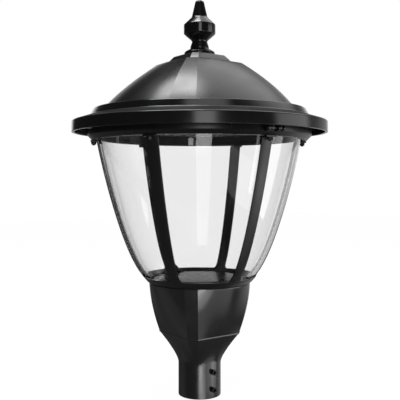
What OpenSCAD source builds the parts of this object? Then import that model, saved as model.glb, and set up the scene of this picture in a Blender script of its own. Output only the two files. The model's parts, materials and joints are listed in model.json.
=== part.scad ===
// Post-top LED lantern: slip-fitter base casting, strapped clear bowl, hinged cast roof and finial.
// Millimetres. The origin is the centre of the fitter mouth, +Z runs up the post.
// The hinge is on the -Y side and the latch on the +Y side. The wide faces look along X and Y.

/* [Post fitter] */
// Outside diameter of the post tenon
tenon_d = 76.2; // [60:0.1:80]
// Radial slip clearance around the tenon
tenon_gap = 1.15; // [0.3:0.05:2]
// Wall of the fitter tube
tube_wall = 5.75; // [4:0.25:8]
// Depth of the tenon bore up to its stop
tenon_depth = 76; // [66:1:80]
// Thickness of the stop shelf
stop_t = 8; // [5:0.5:12]
// Width of the stop shelf, from the bore to the wire hole
shelf_w = 11.25; // [8:0.25:16]
// Radius of a tenon set screw
set_screw_r = 5.5; // [4:0.5:6]
// Length of a tenon set screw
set_screw_len = 13.4; // [11:0.1:16]
// Height of the lower pair of set screws
set_low_z = 18.6; // [14:0.2:24]
// Height of the upper pair of set screws
set_high_z = 55; // [48:0.5:60]
// Inward travel of a set screw
set_travel = 8; // [4:0.5:10]

/* [Base body] */
// Height where the flare leaves the tube
flare_z = 64; // [60:1:68]
// Height of the flare, up to the ledge
flare_h = 68; // [62:1:76]
// Corner radius at the ledge
ledge_r = 85.2; // [78:0.2:92]
// How late the flare opens: 1 is a plain cone
flare_power = 1.36; // [1.2:0.02:1.7]
// Height of the body above the ledge
body_h = 106; // [96:1:120]
// Radius of the round top of the body
body_top_r = 107.2; // [102:0.2:107.4]
// How fully the body swells out
body_swell = 1.75; // [1.2:0.05:2.2]
// Wall of the base casting
base_wall = 6; // [4:0.5:8]
// Half the angle that one corner facet takes
corner_half = 7.2; // [5:0.2:12]
// Flat pieces across one wide face
face_steps = 12; // [6:1:14]

/* [Bowl cage] */
// Thickness of the seal under the cage ring
base_seal_t = 1.5; // [1:0.25:3]
// How far the cage ring's lower edge stands out past the base casting
lip_out = 2.5; // [0:0.1:6]
// Steady outward lean of the cage, per millimetre of height
cage_lean = 0.399; // [0.37:0.001:0.42]
// How much that lean eases with height, per millimetre
cage_ease = 0.00034; // [0.00028:0.00001:0.0004]
// Extra outward curl near the foot
foot_curl = 18.9; // [14:0.1:22]
// Height over which the foot curl fades
foot_curl_h = 33.8; // [28:0.1:42]
// Height from the cage ring's foot to the frame ring
cage_h = 298; // [280:1:310]
// Height of the cage ring's rim
lip_h = 12.5; // [11:0.5:16]
// Thickness of the cage ring's floor
lip_floor_t = 3.5; // [2.5:0.5:5]
// Width of the cage ring's floor
lip_floor_w = 23.7; // [22:0.1:26]
// Height of the filleted ears that the straps stand on
ear_h = 22.5; // [18:0.5:30]
// Width of an ear where it leaves the ring
ear_w = 38; // [30:1:46]
// Thickness of a strap
strap_t = 3.2; // [2.5:0.1:4]
// Width of a strap at its foot
strap_foot_w = 22; // [16:0.5:26]
// Width of a strap at its head
strap_head_w = 25.4; // [18:0.2:30]
// How far a strap's head tab reaches out from the strap
strap_tab = 12; // [10:0.5:14]
// Shank radius of a strap screw
strap_screw_r = 3; // [2:0.25:3.5]

/* [Bowl] */
// Clearance between a strap and the bowl
strap_gap = 0.3; // [0.2:0.1:1]
// Wall of the clear bowl
bowl_t = 4.5; // [3:0.25:6]
// Thickness of the seat seal under the bowl
bowl_seat_t = 2; // [1:0.5:3]
// How far the bowl rises into the frame ring
bowl_rise = 9.5; // [7:0.5:12]
// Thickness of the seal over the bowl
bowl_seal_t = 2; // [1:0.5:3]
// Gap between the foot of the bowl and the cover plate inside it
cover_gap = 4.1; // [2:0.1:4.5]
// Thickness of the cover plate
cover_t = 2.5; // [1.5:0.25:4]
// Crown of the cover plate
cover_crown = 4.5; // [2:0.5:9]

/* [Frame ring] */
// How far the frame ring stands out past the straps
ring_out = 18.6; // [16:0.2:22]
// Height of the frame ring
ring_h = 19.5; // [17:0.5:24]
// Chamfer of its lower edge
ring_chamfer = 8.7; // [5:0.2:9]
// Thickness of the inner lip behind the bowl
inner_lip_t = 3; // [2:0.25:4]
// Height of the seal under the roof
roof_seal_h = 4.3; // [3:0.1:4.6]

/* [Roof] */
// How far the rim stands out past the frame ring
rim_out = 33.2; // [30:0.1:36]
// Height of the rim's upright band
rim_h = 22.7; // [20:0.1:28]
// How far the band's lower edge stands above the frame ring's lower edge
rim_lift = 15.9; // [12:0.1:17]
// How far the shoulder under the dome lies in from the frame ring's outer wall
bead_in = 12.5; // [10:0.1:14]
// How far the shoulder's side leans out on its way down
bead_lean = 8.3; // [6:0.1:10]
// Height of the slope from the rim's edge to the shoulder
slope_h = 11.4; // [9:0.1:14]
// Height of the shoulder
bead_h = 15.1; // [13:0.1:18]
// Corner radius of the dome at its foot
dome_r = 203.4; // [198:0.1:208]
// Corner radius of the dome at its top
dome_top_r = 91; // [84:0.2:98]
// Height of the dome
dome_h = 97.5; // [88:0.5:108]
// Wall of the roof casting
roof_wall = 5; // [4:0.25:7]

/* [Cap and finial] */
// Corner radius of the cap at its foot
cap_r = 73.2; // [66:0.2:80]
// Corner radius of the cap at its top
cap_top_r = 54; // [46:0.5:60]
// Height of the cap
cap_h = 17.5; // [14:0.5:22]
// Height of the finial
finial_h = 120; // [100:1:140]
// Radius of the finial's foot flange
finial_foot_r = 33; // [29:0.2:37]
// Radius of the finial's body
finial_body_r = 33.9; // [28:0.1:38]
// Radius of the finial's neck
finial_neck_r = 17; // [13:0.5:20]
// Radius of the finial's tip
finial_tip_r = 9.8; // [7:0.2:12]
// Radius of the finial stud
stud_r = 6; // [4:0.5:8]

/* [Hinge and latch] */
// Distance of the hinge axis from the frame ring's outer wall
hinge_out = 5; // [5:0.25:8]
// Height of the hinge axis above the frame ring's lower edge
hinge_lift = 13; // [12:0.25:13]
// Radius of a hinge ear
ear_r = 6; // [5:0.25:6]
// Radius of the hinge pin
pin_r = 2.5; // [2:0.1:3]
// Radial clearance of pins and captive screws
running_gap = 0.06; // [0.03:0.01:0.1]
// Distance of the latch screw from the frame ring's outer wall
latch_out = 7; // [6:0.25:9]
// Thickness of the ear that holds the latch screw
latch_ear_t = 5.5; // [4:0.25:6]
// Radius of the latch screw's tip
latch_tip_r = 3; // [2.25:0.25:3.5]
// Length of the latch screw's tip
latch_tip_len = 5; // [3:0.5:7]
// Radius of the latch screw's knob
latch_knob_r = 7; // [6:0.25:8]
// Height of the latch screw's knob
latch_knob_h = 12; // [7:0.2:14]
// Travel of the latch screw
latch_travel = 9.5; // [7:0.5:10]

/* [Light engine] */
// Thickness of the light plate
plate_t = 3.5; // [2.5:0.25:5]
// Gap between the frame ring's top and the light plate
plate_gap = 3; // [2.4:0.1:4]
// Side of one square LED board
board_w = 96; // [84:1:98]
// Thickness of an LED board
board_t = 1.6; // [1:0.1:2]
// Thickness of a lens sheet
sheet_t = 2.4; // [1.5:0.1:3]
// Lenses along one side of a lens sheet
lens_rows = 4; // [2:1:4]
// Foot radius of a lens
lens_r = 8.5; // [6:0.25:9]
// Height of a lens
lens_h = 3.5; // [2:0.25:5]
// How far each end of the driver lies in from the outer edge of the LED boards
driver_in = 12; // [7:1:37]
// Width of the driver
driver_w = 68; // [50:1:76]
// Height of the driver
driver_h = 36; // [25:1:40]

/* [Hidden] */
$fn = 72;
e = 0.5;

BLACK = [0.05, 0.05, 0.055];
DARK = [0.11, 0.11, 0.12];
STEEL = [0.62, 0.63, 0.65];
SEAL = [0.16, 0.16, 0.17];
CLEAR = [0.86, 0.92, 0.95, 0.3];
ALLOY = [0.72, 0.73, 0.75];

// Heights, stacked from the fitter mouth
ledge_z = flare_z + flare_h;
base_top_z = ledge_z + body_h;
cage_z = base_top_z + base_seal_t;
floor_z = cage_z + lip_floor_t;
bowl_z = floor_z + bowl_seat_t;
ring_z = cage_z + cage_h;
bowl_top_z = ring_z + bowl_rise;
groove_z = bowl_top_z + bowl_seal_t;
ring_top_z = ring_z + ring_h;
rim_z = ring_z + rim_lift;
rim_top_z = rim_z + rim_h;
slope_top_z = rim_top_z + slope_h;
dome_z = slope_top_z + bead_h;
dome_top_z = dome_z + dome_h;
cap_top_z = dome_top_z + cap_h;
plate_z = ring_top_z + plate_gap;
plate_top_z = plate_z + plate_t;
board_z = plate_z - board_t;
sheet_z = board_z - sheet_t;
cavity_z = tenon_depth + stop_t;

bore_r = tenon_d / 2 + tenon_gap;
tube_r = bore_r + tube_wall;
wire_hole_r = bore_r - shelf_w;
lip_r = body_top_r + lip_out;
lip_floor_r = lip_r - lip_floor_w;

// Radii of the cage, the bowl and the frame ring, from one curve
function cage_r(h) = lip_r + cage_lean * h - cage_ease * h * h + foot_curl * (1 - exp(-h / foot_curl_h));
function cage_slope(h) = cage_lean - 2 * cage_ease * h + foot_curl / foot_curl_h * exp(-h / foot_curl_h);
function inset_r(h, d) = cage_r(h) - d * sqrt(1 + pow(cage_slope(h), 2));

bowl_out = strap_t + strap_gap;
bowl_in = bowl_out + bowl_t;
bowl_foot_h = bowl_z - cage_z;
bowl_head_h = bowl_top_z - cage_z;
cover_r = inset_r(bowl_foot_h, bowl_in) - cover_gap;
groove_out_r = inset_r(cage_h + bowl_rise, bowl_out) + 1.2;
groove_in_r = inset_r(cage_h, bowl_in) - 1;
lip_in_r = groove_in_r - inner_lip_t;
step_r = lip_in_r + 4.8;
inner_lip_z = ring_z + 2.7;
ring_r = cage_r(cage_h) + ring_out;
strap_screw_at = cage_r(cage_h) + strap_tab / 2;
seal_mid_r = ring_r - 11;
collar_r = seal_mid_r;
lug_r = collar_r - 11;
plate_r = collar_r - 4.5;
rim_r = ring_r + rim_out;
hinge_r = ring_r + hinge_out;
latch_r = ring_r + latch_out;

// Section of the castings: four wide faces that swell from flat to round, and four flat corner facets.
// a is the angle from a wide face's centre, swell goes from 0 for a flat face to 1 for a round one.
face_half = 45 - corner_half;
function section_r(a, swell) = (1 - swell) * cos(face_half) / cos(a) + swell;
function section_at(r, swell, z, steps = face_steps) = [
    for (q = [0:3], i = [0:steps])
        let (a = face_half * (2 * i / steps - 1), s = r * section_r(a, swell))
            [s * cos(a + 90 * q), s * sin(a + 90 * q), z]
];

// Loft through sections that all have the same number of points
module loft(sections) {
    m = len(sections[0]);
    n = len(sections);
    sides = [
        for (k = [0:n - 2], i = [0:m - 1])
            let (j = (i + 1) % m, a = k * m + i, b = k * m + j, c = a + m, d = b + m)
                each [[a, c, d], [a, d, b]]
    ];
    polyhedron(
        points = [for (s = sections) each s],
        faces = concat([[for (i = [0:m - 1]) i]], sides, [[for (i = [m - 1:-1:0]) (n - 1) * m + i]]),
        convexity = 6
    );
}

// Point of a quadratic curve
function bend3(a, b, c, t) = (1 - t) * (1 - t) * a + 2 * t * (1 - t) * b + t * t * c;

module revolve(outline) rotate_extrude() polygon(outline);
module tube(outer, inner, z, h) translate([0, 0, z]) difference() {
    cylinder(r = outer, h = h);
    translate([0, 0, -e]) cylinder(r = inner, h = h + 2 * e);
}
module around(count, start = 0) for (k = [0:count - 1]) rotate([0, 0, start + 360 * k / count]) children();
module along_x(r, x0, x1) translate([x0, 0, 0]) rotate([0, 90, 0]) cylinder(r = r, h = x1 - x0);
module box(x0, x1, y0, y1, z0, z1) translate([x0, y0, z0]) cube([x1 - x0, y1 - y0, z1 - z0]);

// Screw with its head's seat at z = 0, its shank below and a round or hexagon head above
module screw(shank_r, len, head_r, head_h, hexagon = false) {
    translate([0, 0, -len]) cylinder(r = shank_r, h = len + e / 2);
    if (hexagon) cylinder(r = head_r, h = head_h, $fn = 6);
    else difference() {
        cylinder(r = head_r, h = head_h);
        translate([0, 0, head_h * 0.4]) cylinder(r = head_r * 0.45, h = head_h, $fn = 6);
    }
}

// Tube along a route: each ring of points is carried from the last without twist
function unit(v) = v / norm(v);
function direction(p, i) = unit(p[min(i + 1, len(p) - 1)] - p[max(i - 1, 0)]);
function carried(p, i, u) =
    let (t = direction(p, i), w = unit(u - (u * t) * t))
        i == len(p) - 1 ? [w] : concat([w], carried(p, i + 1, w));
function eased(p, i, t) =
    let (a = p[max(i - 1, 0)], b = p[i], c = p[i + 1], d = p[min(i + 2, len(p) - 1)])
        0.5 * (2 * b + (c - a) * t + (2 * a - 5 * b + 4 * c - d) * t * t + (3 * b - a - 3 * c + d) * t * t * t);
function smooth_route(p, steps) =
    concat([for (i = [0:len(p) - 2], s = [0:steps - 1]) eased(p, i, s / steps)], [p[len(p) - 1]]);
module lead(route, r, side, steps = 3, sides = 8) {
    p = smooth_route(route, steps);
    u = carried(p, 0, side);
    loft([
        for (i = [0:len(p) - 1])
            let (t = direction(p, i), v = cross(t, u[i]))
                [for (k = [0:sides - 1]) p[i] + r * (cos(360 * k / sides) * u[i] + sin(360 * k / sides) * v)]
    ]);
}

// Base casting
function flare_r(u) = tube_r - 0.7 + (ledge_r - tube_r + 0.7) * pow(u, flare_power);
function body_r(u) = body_top_r - (body_top_r - ledge_r) * pow(1 - u, body_swell);
flare_rings = 8;
body_rings = 8;
boss_r = body_top_r - base_wall - 6.7;
bar_r = body_top_r - base_wall - 10.2;
bar_z = base_top_z - 6;

module base_solid() loft(concat(
    [for (i = [0:flare_rings - 1]) let (u = i / flare_rings)
        section_at(flare_r(u), 1 - pow(u, 0.6), flare_z + flare_h * u)],
    [for (i = [0:body_rings]) let (u = i / body_rings)
        section_at(body_r(u), u, ledge_z + body_h * u)]
));
module base_cavity() {
    first = (cavity_z - flare_z) / flare_h;
    loft(concat(
        [for (i = [0:3]) let (u = first + (1 - first) * i / 4)
            section_at(flare_r(u) - base_wall - 3, 1 - pow(u, 0.6), flare_z + flare_h * u)],
        [for (i = [0:5]) let (u = i / 5)
            section_at(body_r(u) - base_wall, u, ledge_z + body_h * u)],
        [section_at(body_top_r - base_wall, 1, base_top_z + e)]
    ));
}
module set_screw_places() for (side = [-1, 1], z = [set_low_z, set_high_z])
    translate([0, 0, z]) rotate([0, 0, side * 90]) rotate([0, 90, 0]) children();
module base_casting() color(BLACK) difference() {
    union() {
        difference() {
            union() {
                base_solid();
                cylinder(r = tube_r, h = cavity_z + 4);
            }
            base_cavity();
        }
        intersection() {
            base_solid();
            union() {
                around(4, 45) translate([boss_r, 0, base_top_z - 26]) cylinder(r = 8, h = 26);
                around(2) translate([bar_r, 0, bar_z - 10]) cylinder(r = 8, h = 10);
                around(2) translate([bar_r, -7, bar_z - 10]) cube([20, 14, 10]);
            }
        }
    }
    translate([0, 0, -e]) cylinder(r = bore_r, h = tenon_depth + e);
    translate([0, 0, tenon_depth - e]) cylinder(r = wire_hole_r, h = stop_t + 2 * e);
    set_screw_places() translate([0, 0, bore_r - 5]) cylinder(r = set_screw_r + running_gap, h = 20);
    around(4, 45) translate([boss_r, 0, base_top_z - 12]) cylinder(r = 2.6, h = 13);
    around(2) translate([bar_r, 0, bar_z - 8]) cylinder(r = 2.6, h = 9);
}

// Set screw number 1 to 4: two on the hinge side, then two on the latch side
module set_screw(number) {
    side = number < 3 ? -1 : 1;
    z = number % 2 == 1 ? set_low_z : set_high_z;
    color(DARK) translate([0, 0, z]) rotate([0, 0, side * 90]) rotate([0, 90, 0])
        translate([0, 0, bore_r + 0.35]) difference() {
            cylinder(r = set_screw_r, h = set_screw_len);
            translate([0, 0, set_screw_len - 6]) cylinder(r = set_screw_r * 0.58, h = 7, $fn = 6);
        }
}

// Wiring gear inside the base casting
leg_t = 3;
leg_w = 90;
leg_h = 82;
bar_t = 3;
bar_w = 24;
module gear_bracket() color(ALLOY) difference() {
    union() {
        box(-bar_r - 5, bar_r + 5, -bar_w / 2, bar_w / 2, bar_z, bar_z + bar_t);
        box(-leg_w / 2, leg_w / 2, -leg_t / 2, leg_t / 2, bar_z - leg_h, bar_z + e);
    }
    around(2) translate([bar_r, 0, bar_z - e]) cylinder(r = 2.8, h = bar_t + 2 * e);
}
module bracket_screws() color(STEEL)
    around(2) translate([bar_r, 0, bar_z + bar_t]) screw(2.5, 9, 4.5, 2.6);
terminal_w = 60;
terminal_d = 20;
terminal_h = 25;
terminal_drop = 42;
terminal_top_z = bar_z - terminal_drop;
module terminal_block() color([0.85, 0.85, 0.82])
    translate([0, leg_t / 2, terminal_top_z - terminal_h]) difference() {
        box(-terminal_w / 2, terminal_w / 2, 0, terminal_d, 0, terminal_h);
        for (k = [-2:2]) translate([k * (terminal_w - 16) / 4, terminal_d + 1, terminal_h / 2])
            rotate([90, 0, 0]) cylinder(r = 3, h = 8);
    }
surge_w = 50;
surge_d = 30;
surge_h = 52;
surge_drop = 20;
module surge_protector() color([0.55, 0.1, 0.08]) translate([0, -leg_t / 2, bar_z - surge_drop - surge_h]) {
    box(-surge_w / 2, surge_w / 2, -surge_d, 0, 0, surge_h);
    box(-surge_w / 2 - 9, surge_w / 2 + 9, -3, 0, 4, 12);
}
module ground_screw() color([0.1, 0.45, 0.2])
    translate([leg_w / 2 - 8, leg_t / 2, bar_z - 14]) rotate([-90, 0, 0]) cylinder(r = 5, h = 4, $fn = 6);

module base_seal() color(SEAL) difference() {
    tube(body_top_r - 2.2, lip_floor_r + 1, base_top_z, base_seal_t);
    around(4, 45) translate([boss_r, 0, base_top_z - e]) cylinder(r = 2.8, h = base_seal_t + 2 * e);
}

// Cage ring with its six ears
ring_fillet = (ear_w - strap_foot_w) / 2;
function lip_out_points() = [for (i = [0:6]) let (h = lip_h * i / 6) [cage_r(h), cage_z + h]];
function lip_in_points() = [for (i = [6:-1:0])
    let (h = lip_floor_t + (lip_h - lip_floor_t) * i / 6) [inset_r(h, strap_t), cage_z + h]];
function ear_out_points() = [for (i = [0:5]) let (h = lip_h - 2 + (ear_h - lip_h + 2) * i / 5)
    [cage_r(h), cage_z + h]];
function ear_in_points() = [for (i = [5:-1:0]) let (h = lip_h - 2 + (ear_h - lip_h + 2) * i / 5)
    [inset_r(h, strap_t), cage_z + h]];
module ear_outline() translate([0, cage_z]) polygon(concat(
    [[-ear_w / 2, 0], [ear_w / 2, 0], [ear_w / 2, lip_h]],
    [for (a = [15:15:90]) [ear_w / 2 - ring_fillet * sin(a), lip_h + ring_fillet * (1 - cos(a))]],
    [[strap_foot_w / 2, ear_h + e], [-strap_foot_w / 2, ear_h + e]],
    [for (a = [90:-15:15]) [-ear_w / 2 + ring_fillet * sin(a), lip_h + ring_fillet * (1 - cos(a))]],
    [[-ear_w / 2, lip_h]]
));
module cage_ring() color(BLACK) difference() {
    union() {
        revolve(concat([[lip_floor_r, cage_z]], lip_out_points(), lip_in_points(), [[lip_floor_r, floor_z]]));
        around(6, 30) intersection() {
            rotate([0, 0, -15]) rotate_extrude(angle = 30)
                polygon(concat(ear_out_points(), ear_in_points()));
            translate([lip_r - 20, 0, 0]) rotate([90, 0, 90])
                linear_extrude(height = 60) ear_outline();
        }
    }
    around(4, 45) translate([boss_r, 0, cage_z - e]) {
        cylinder(r = 2.8, h = lip_floor_t + 2 * e);
        translate([0, 0, lip_floor_t + e - 2.4]) cylinder(r1 = 2.8, r2 = 5.4, h = 2.5);
    }
    around(3) translate([boss_r, 0, cage_z - e]) cylinder(r = 2.1, h = lip_floor_t + 2 * e);
}
module ring_screws() color(STEEL) around(4, 45) translate([boss_r, 0, floor_z]) {
    translate([0, 0, -13]) cylinder(r = 2.5, h = 11);
    translate([0, 0, -2.2]) cylinder(r1 = 2.5, r2 = 4.4, h = 2.1);
}

// Cage strap number 1 to 6, starting over the hinge: a bent flat bar with a head tab
strap_steps = 16;
tab_out = cage_r(cage_h) + strap_tab;
function strap_outline() = concat(
    [for (i = [0:strap_steps]) let (h = ear_h + (cage_h - strap_t - ear_h) * i / strap_steps) [cage_r(h), h]],
    [[tab_out, cage_h - strap_t], [tab_out, cage_h], [inset_r(cage_h, strap_t), cage_h]],
    [for (i = [strap_steps:-1:0]) let (h = ear_h + (cage_h - strap_t - ear_h) * i / strap_steps)
        [inset_r(h, strap_t), h]]
);
module cage_strap(number) color(BLACK) rotate([0, 0, 60 * number - 150]) difference() {
    intersection() {
        translate([0, 0, cage_z]) rotate([90, 0, 0])
            linear_extrude(height = 60, center = true) polygon(strap_outline());
        translate([lip_r - 10, 0, cage_z]) rotate([90, 0, 90]) linear_extrude(height = 160) polygon([
            [-strap_foot_w / 2, 0], [strap_foot_w / 2, 0],
            [strap_head_w / 2, cage_h + 1], [-strap_head_w / 2, cage_h + 1]
        ]);
    }
    translate([strap_screw_at, 0, ring_z - strap_t - e])
        cylinder(r = strap_screw_r + 0.25, h = strap_t + 2 * e);
}
module strap_screws() color(DARK) around(6, 30) translate([strap_screw_at, 0, ring_z - strap_t])
    rotate([180, 0, 0]) {
        translate([0, 0, -strap_t - 6]) cylinder(r = strap_screw_r, h = strap_t + 6.5);
        cylinder(r = 6, h = 1.2);
        translate([0, 0, 1]) cylinder(r = 5.4, h = 4.4, $fn = 6);
        translate([0, 0, 5]) cylinder(r = strap_screw_r, h = 2.4);
    }

// Cover plate in the floor of the bowl
lead_hole_r = 5.6;
grommet_r = 7.5;
lead_y = lip_floor_r - grommet_r - 0.5;
module base_cover() color(DARK) difference() {
    revolve([
        [0, floor_z + cover_crown], [40, floor_z + cover_crown * 0.7], [66, floor_z], [cover_r, floor_z],
        [cover_r, floor_z + cover_t], [66, floor_z + cover_t],
        [40, floor_z + cover_crown * 0.7 + cover_t], [0, floor_z + cover_crown + cover_t]
    ]);
    around(3) translate([boss_r, 0, floor_z - e]) cylinder(r = 2.3, h = cover_t + 2 * e);
    translate([0, lead_y, floor_z - e]) cylinder(r = lead_hole_r, h = cover_t + 2 * e);
}
module cover_screws() color(STEEL)
    around(3) translate([boss_r, 0, floor_z + cover_t]) screw(2, cover_t + 3, 4, 2);
module cover_grommet() color(SEAL) translate([0, lead_y, floor_z]) difference() {
    union() {
        cylinder(r = lead_hole_r - 0.05, h = cover_t);
        translate([0, 0, cover_t]) cylinder(r = grommet_r, h = 1.6);
        translate([0, 0, -1.6]) cylinder(r = grommet_r, h = 1.6);
    }
    translate([0, 0, -3]) cylinder(r = lead_r + 0.1, h = cover_t + 6);
}

// Clear bowl and its seals
bowl_steps = 18;
function bowl_points(d, first, last) = [for (i = [0:bowl_steps])
    let (h = first + (last - first) * i / bowl_steps) [inset_r(h, d), cage_z + h]];
module bowl() color(CLEAR) revolve(concat(
    bowl_points(bowl_out, bowl_foot_h, bowl_head_h),
    bowl_points(bowl_in, bowl_head_h, bowl_foot_h)
));
module bowl_seat_seal() color(SEAL)
    tube(inset_r(lip_floor_t, strap_t) - 0.3, cover_r + 0.6, floor_z, bowl_seat_t);
module bowl_top_seal() color(SEAL)
    tube(groove_out_r - 0.3, groove_in_r + 0.3, bowl_top_z, bowl_seal_t);

// Frame ring: bowl groove below, roof seal groove above, hinge ears and latch ear
hinge_z = ring_z + hinge_lift;
ring_ears = [[-23.4, -16.4], [1.6, 5.2], [13.7, 17.6]];
roof_ears = [[-16, -8.7], [5.6, 9.6]];
latch_ear_z = ring_top_z - 10.5;
latch_neck_r = latch_tip_r - 0.6;
latch_boss_z = latch_ear_z + latch_ear_t + latch_tip_len + 0.6;
module at_hinge() translate([0, -hinge_r, hinge_z]) children();
module frame_ring() color(BLACK) difference() {
    union() {
        revolve([
            [groove_out_r, groove_z], [groove_out_r, ring_z], [ring_r - ring_chamfer, ring_z],
            [ring_r, ring_z + ring_chamfer], [ring_r, ring_top_z], [seal_mid_r + 4, ring_top_z],
            [seal_mid_r + 4, ring_top_z - 2.5], [seal_mid_r - 4, ring_top_z - 2.5],
            [seal_mid_r - 4, ring_top_z], [step_r, ring_top_z], [step_r, groove_z + 2.5],
            [lip_in_r, groove_z + 2.5], [lip_in_r, inner_lip_z], [groove_in_r, inner_lip_z],
            [groove_in_r, groove_z]
        ]);
        for (x = ring_ears) {
            at_hinge() along_x(ear_r, x[0], x[1]);
            box(x[0], x[1], -hinge_r, -ring_r + 4, hinge_z - ear_r, hinge_z + ear_r);
        }
        box(-10, 10, ring_r - 3, latch_r + 9, latch_ear_z, latch_ear_z + latch_ear_t);
    }
    for (x = roof_ears)
        box(x[0] - 0.4, x[1] + 0.4, -hinge_r - 20, -hinge_r + ear_r + 1.2, ring_z - e, ring_top_z + e);
    at_hinge() along_x(pin_r + running_gap, -30, 30);
    around(6, 30) translate([strap_screw_at, 0, ring_z - e]) cylinder(r = strap_screw_r + 0.05, h = 6.6 + e);
    translate([0, latch_r, latch_ear_z - e]) cylinder(r = latch_neck_r + running_gap, h = latch_ear_t + 2 * e);
    around(6) translate([lip_in_r + inner_lip_t + 1, 0, clip_screw_z]) rotate([0, -90, 0])
        cylinder(r = 1.3, h = inner_lip_t + 2);
}

// Spring clips inside the frame ring, half-way between the straps
clip_w = 12;
clip_t = 1.2;
clip_face_r = lip_in_r * cos(asin(clip_w / 2 / lip_in_r));
clip_screw_z = groove_z - 2.4;
module bowl_clips() color(STEEL) around(6) difference() {
    union() {
        box(clip_face_r - clip_t, clip_face_r, -clip_w / 2, clip_w / 2, inner_lip_z - clip_t, ring_top_z - 1);
        box(clip_face_r - clip_t, groove_in_r - 0.3, -clip_w / 2, clip_w / 2,
            inner_lip_z - clip_t, inner_lip_z);
    }
    translate([clip_face_r - clip_t - e, 0, clip_screw_z]) rotate([0, 90, 0])
        cylinder(r = 1.5, h = clip_t + 2 * e);
}
module clip_screws() color(STEEL) around(6) translate([clip_face_r - clip_t, 0, clip_screw_z])
    rotate([0, -90, 0]) {
        translate([0, 0, -clip_t - inner_lip_t]) cylinder(r = 1.2, h = clip_t + inner_lip_t + e);
        cylinder(r = 2.6, h = 1.6);
    }
module roof_seal() color(SEAL) tube(seal_mid_r + 3.6, seal_mid_r - 3.6, ring_top_z - 2.5, roof_seal_h);
module hinge_pin() color(DARK) at_hinge() {
    along_x(pin_r, -25.5, 19.2);
    along_x(4.2, -25.7, -23.7);
    along_x(4.2, 17.9, 19.4);
}

// Captive latch screw: its tip is wider than its neck, so the ear keeps it when it is drawn
knob_z = latch_ear_z - 1.7;
latch_tip_z = latch_ear_z + latch_ear_t + 0.3 + latch_travel;
module latch_screw() color(DARK) translate([0, latch_r, 0]) {
    translate([0, 0, knob_z - latch_knob_h]) difference() {
        cylinder(r = latch_knob_r, h = latch_knob_h);
        for (k = [0:11]) rotate([0, 0, 30 * k + 15])
            translate([latch_knob_r + 0.6, 0, -e]) cylinder(r = 1.1, h = latch_knob_h + 2 * e);
    }
    translate([0, 0, knob_z - e]) cylinder(r = 4.6, h = 1.4 + e);
    translate([0, 0, knob_z]) cylinder(r = latch_neck_r, h = latch_tip_z + e - knob_z);
    translate([0, 0, latch_tip_z]) cylinder(r = latch_tip_r, h = latch_tip_len);
}

// Supply socket on the frame ring, and the lead that rises to it behind the rear strap
lead_r = 2.4;
socket_y = lip_in_r - 8;
socket_z = inner_lip_z - 10;
socket_top_z = plate_z - 9;
pin_places = [-5.5, 0, 5.5];
module supply_socket() color(DARK) difference() {
    intersection() {
        box(-10, 10, socket_y - 5.5, lip_in_r + 2, socket_z, socket_top_z);
        translate([0, 0, socket_z]) cylinder(r = lip_in_r - 0.1, h = 40, $fn = 288);
    }
    for (x = pin_places) translate([x, socket_y, socket_top_z - 9]) cylinder(r = 1.9, h = 10);
}
supply_route = concat(
    [[0, 12, terminal_top_z], [0, 12, terminal_top_z + 3], [0, 12, terminal_top_z + 6],
     [0, 20, terminal_top_z + 18], [0, 40, terminal_top_z + 30], [0, lead_y - 6, floor_z - 15],
     [0, lead_y, floor_z - 8], [0, lead_y, floor_z - 3], [0, lead_y, floor_z + cover_t + 3],
     [0, lead_y, floor_z + cover_t + 6], [0, lead_y + 8, floor_z + 16], [0, lead_y + 24, floor_z + 24],
     [0, lead_y + 40, floor_z + 34]],
    [for (h = [54, 84, 120, 160, 200, 240, cage_h - 26])
        [0, inset_r(h, bowl_in) - lead_r - 1.2, cage_z + h]],
    [[0, socket_y, socket_z - 9], [0, socket_y, socket_z - 4], [0, socket_y, socket_z]]
);
module supply_lead() color(DARK) lead(supply_route, lead_r, [1, 0, 0], 2);

// Roof casting
dome_steps = 10;
dome_mid_r = dome_r - (dome_r - dome_top_r) * 0.359;
dome_mid_z = dome_z + dome_h * 0.527;
bead_r = ring_r - bead_in;
slope_r = bead_r + bead_lean;
slope_fall = slope_h / (rim_r - slope_r);
lug_h = 20;
// The dome's faces stay round for most of its height and go flat near its top
function dome_sections(d, drop, first) = [for (i = [first:dome_steps])
    let (t = 1 - pow(1 - i / dome_steps, 1.7))
    section_at(bend3(dome_r, dome_mid_r, dome_top_r, t) - d, 0.03 + 0.97 * pow(1 - t, 0.32),
        dome_z + (bend3(dome_z, dome_mid_z, dome_top_z, t) - dome_z) * (dome_h - drop) / dome_h)];
rim_in_r = rim_r - 5.5;
collar_top_z = slope_top_z + (slope_r - collar_r - 3) * bead_h / bead_lean - 1.5;
module rim_and_shoulder() revolve([
    [dome_r - 8, dome_z - 1], [dome_r - 4, dome_z], [bead_r - 2, dome_z], [bead_r - 0.4, dome_z - 0.5],
    [bead_r + 0.9, dome_z - 2.2], [slope_r - 0.6, slope_top_z + 1.5], [slope_r + 1.6, slope_top_z - 0.4],
    [rim_r - 3, rim_top_z + 3 * slope_fall], [rim_r - 1, rim_top_z - 0.3], [rim_r, rim_top_z - 2.4],
    [rim_r, rim_z], [rim_in_r, rim_z], [rim_in_r, rim_top_z - 5.6], [rim_in_r - 3.5, rim_top_z - 2.4],
    [slope_r - 3.4, slope_top_z - 4.2], [bead_r - 2.9, dome_z - roof_wall], [dome_r - 8, dome_z - roof_wall]
]);
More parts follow.
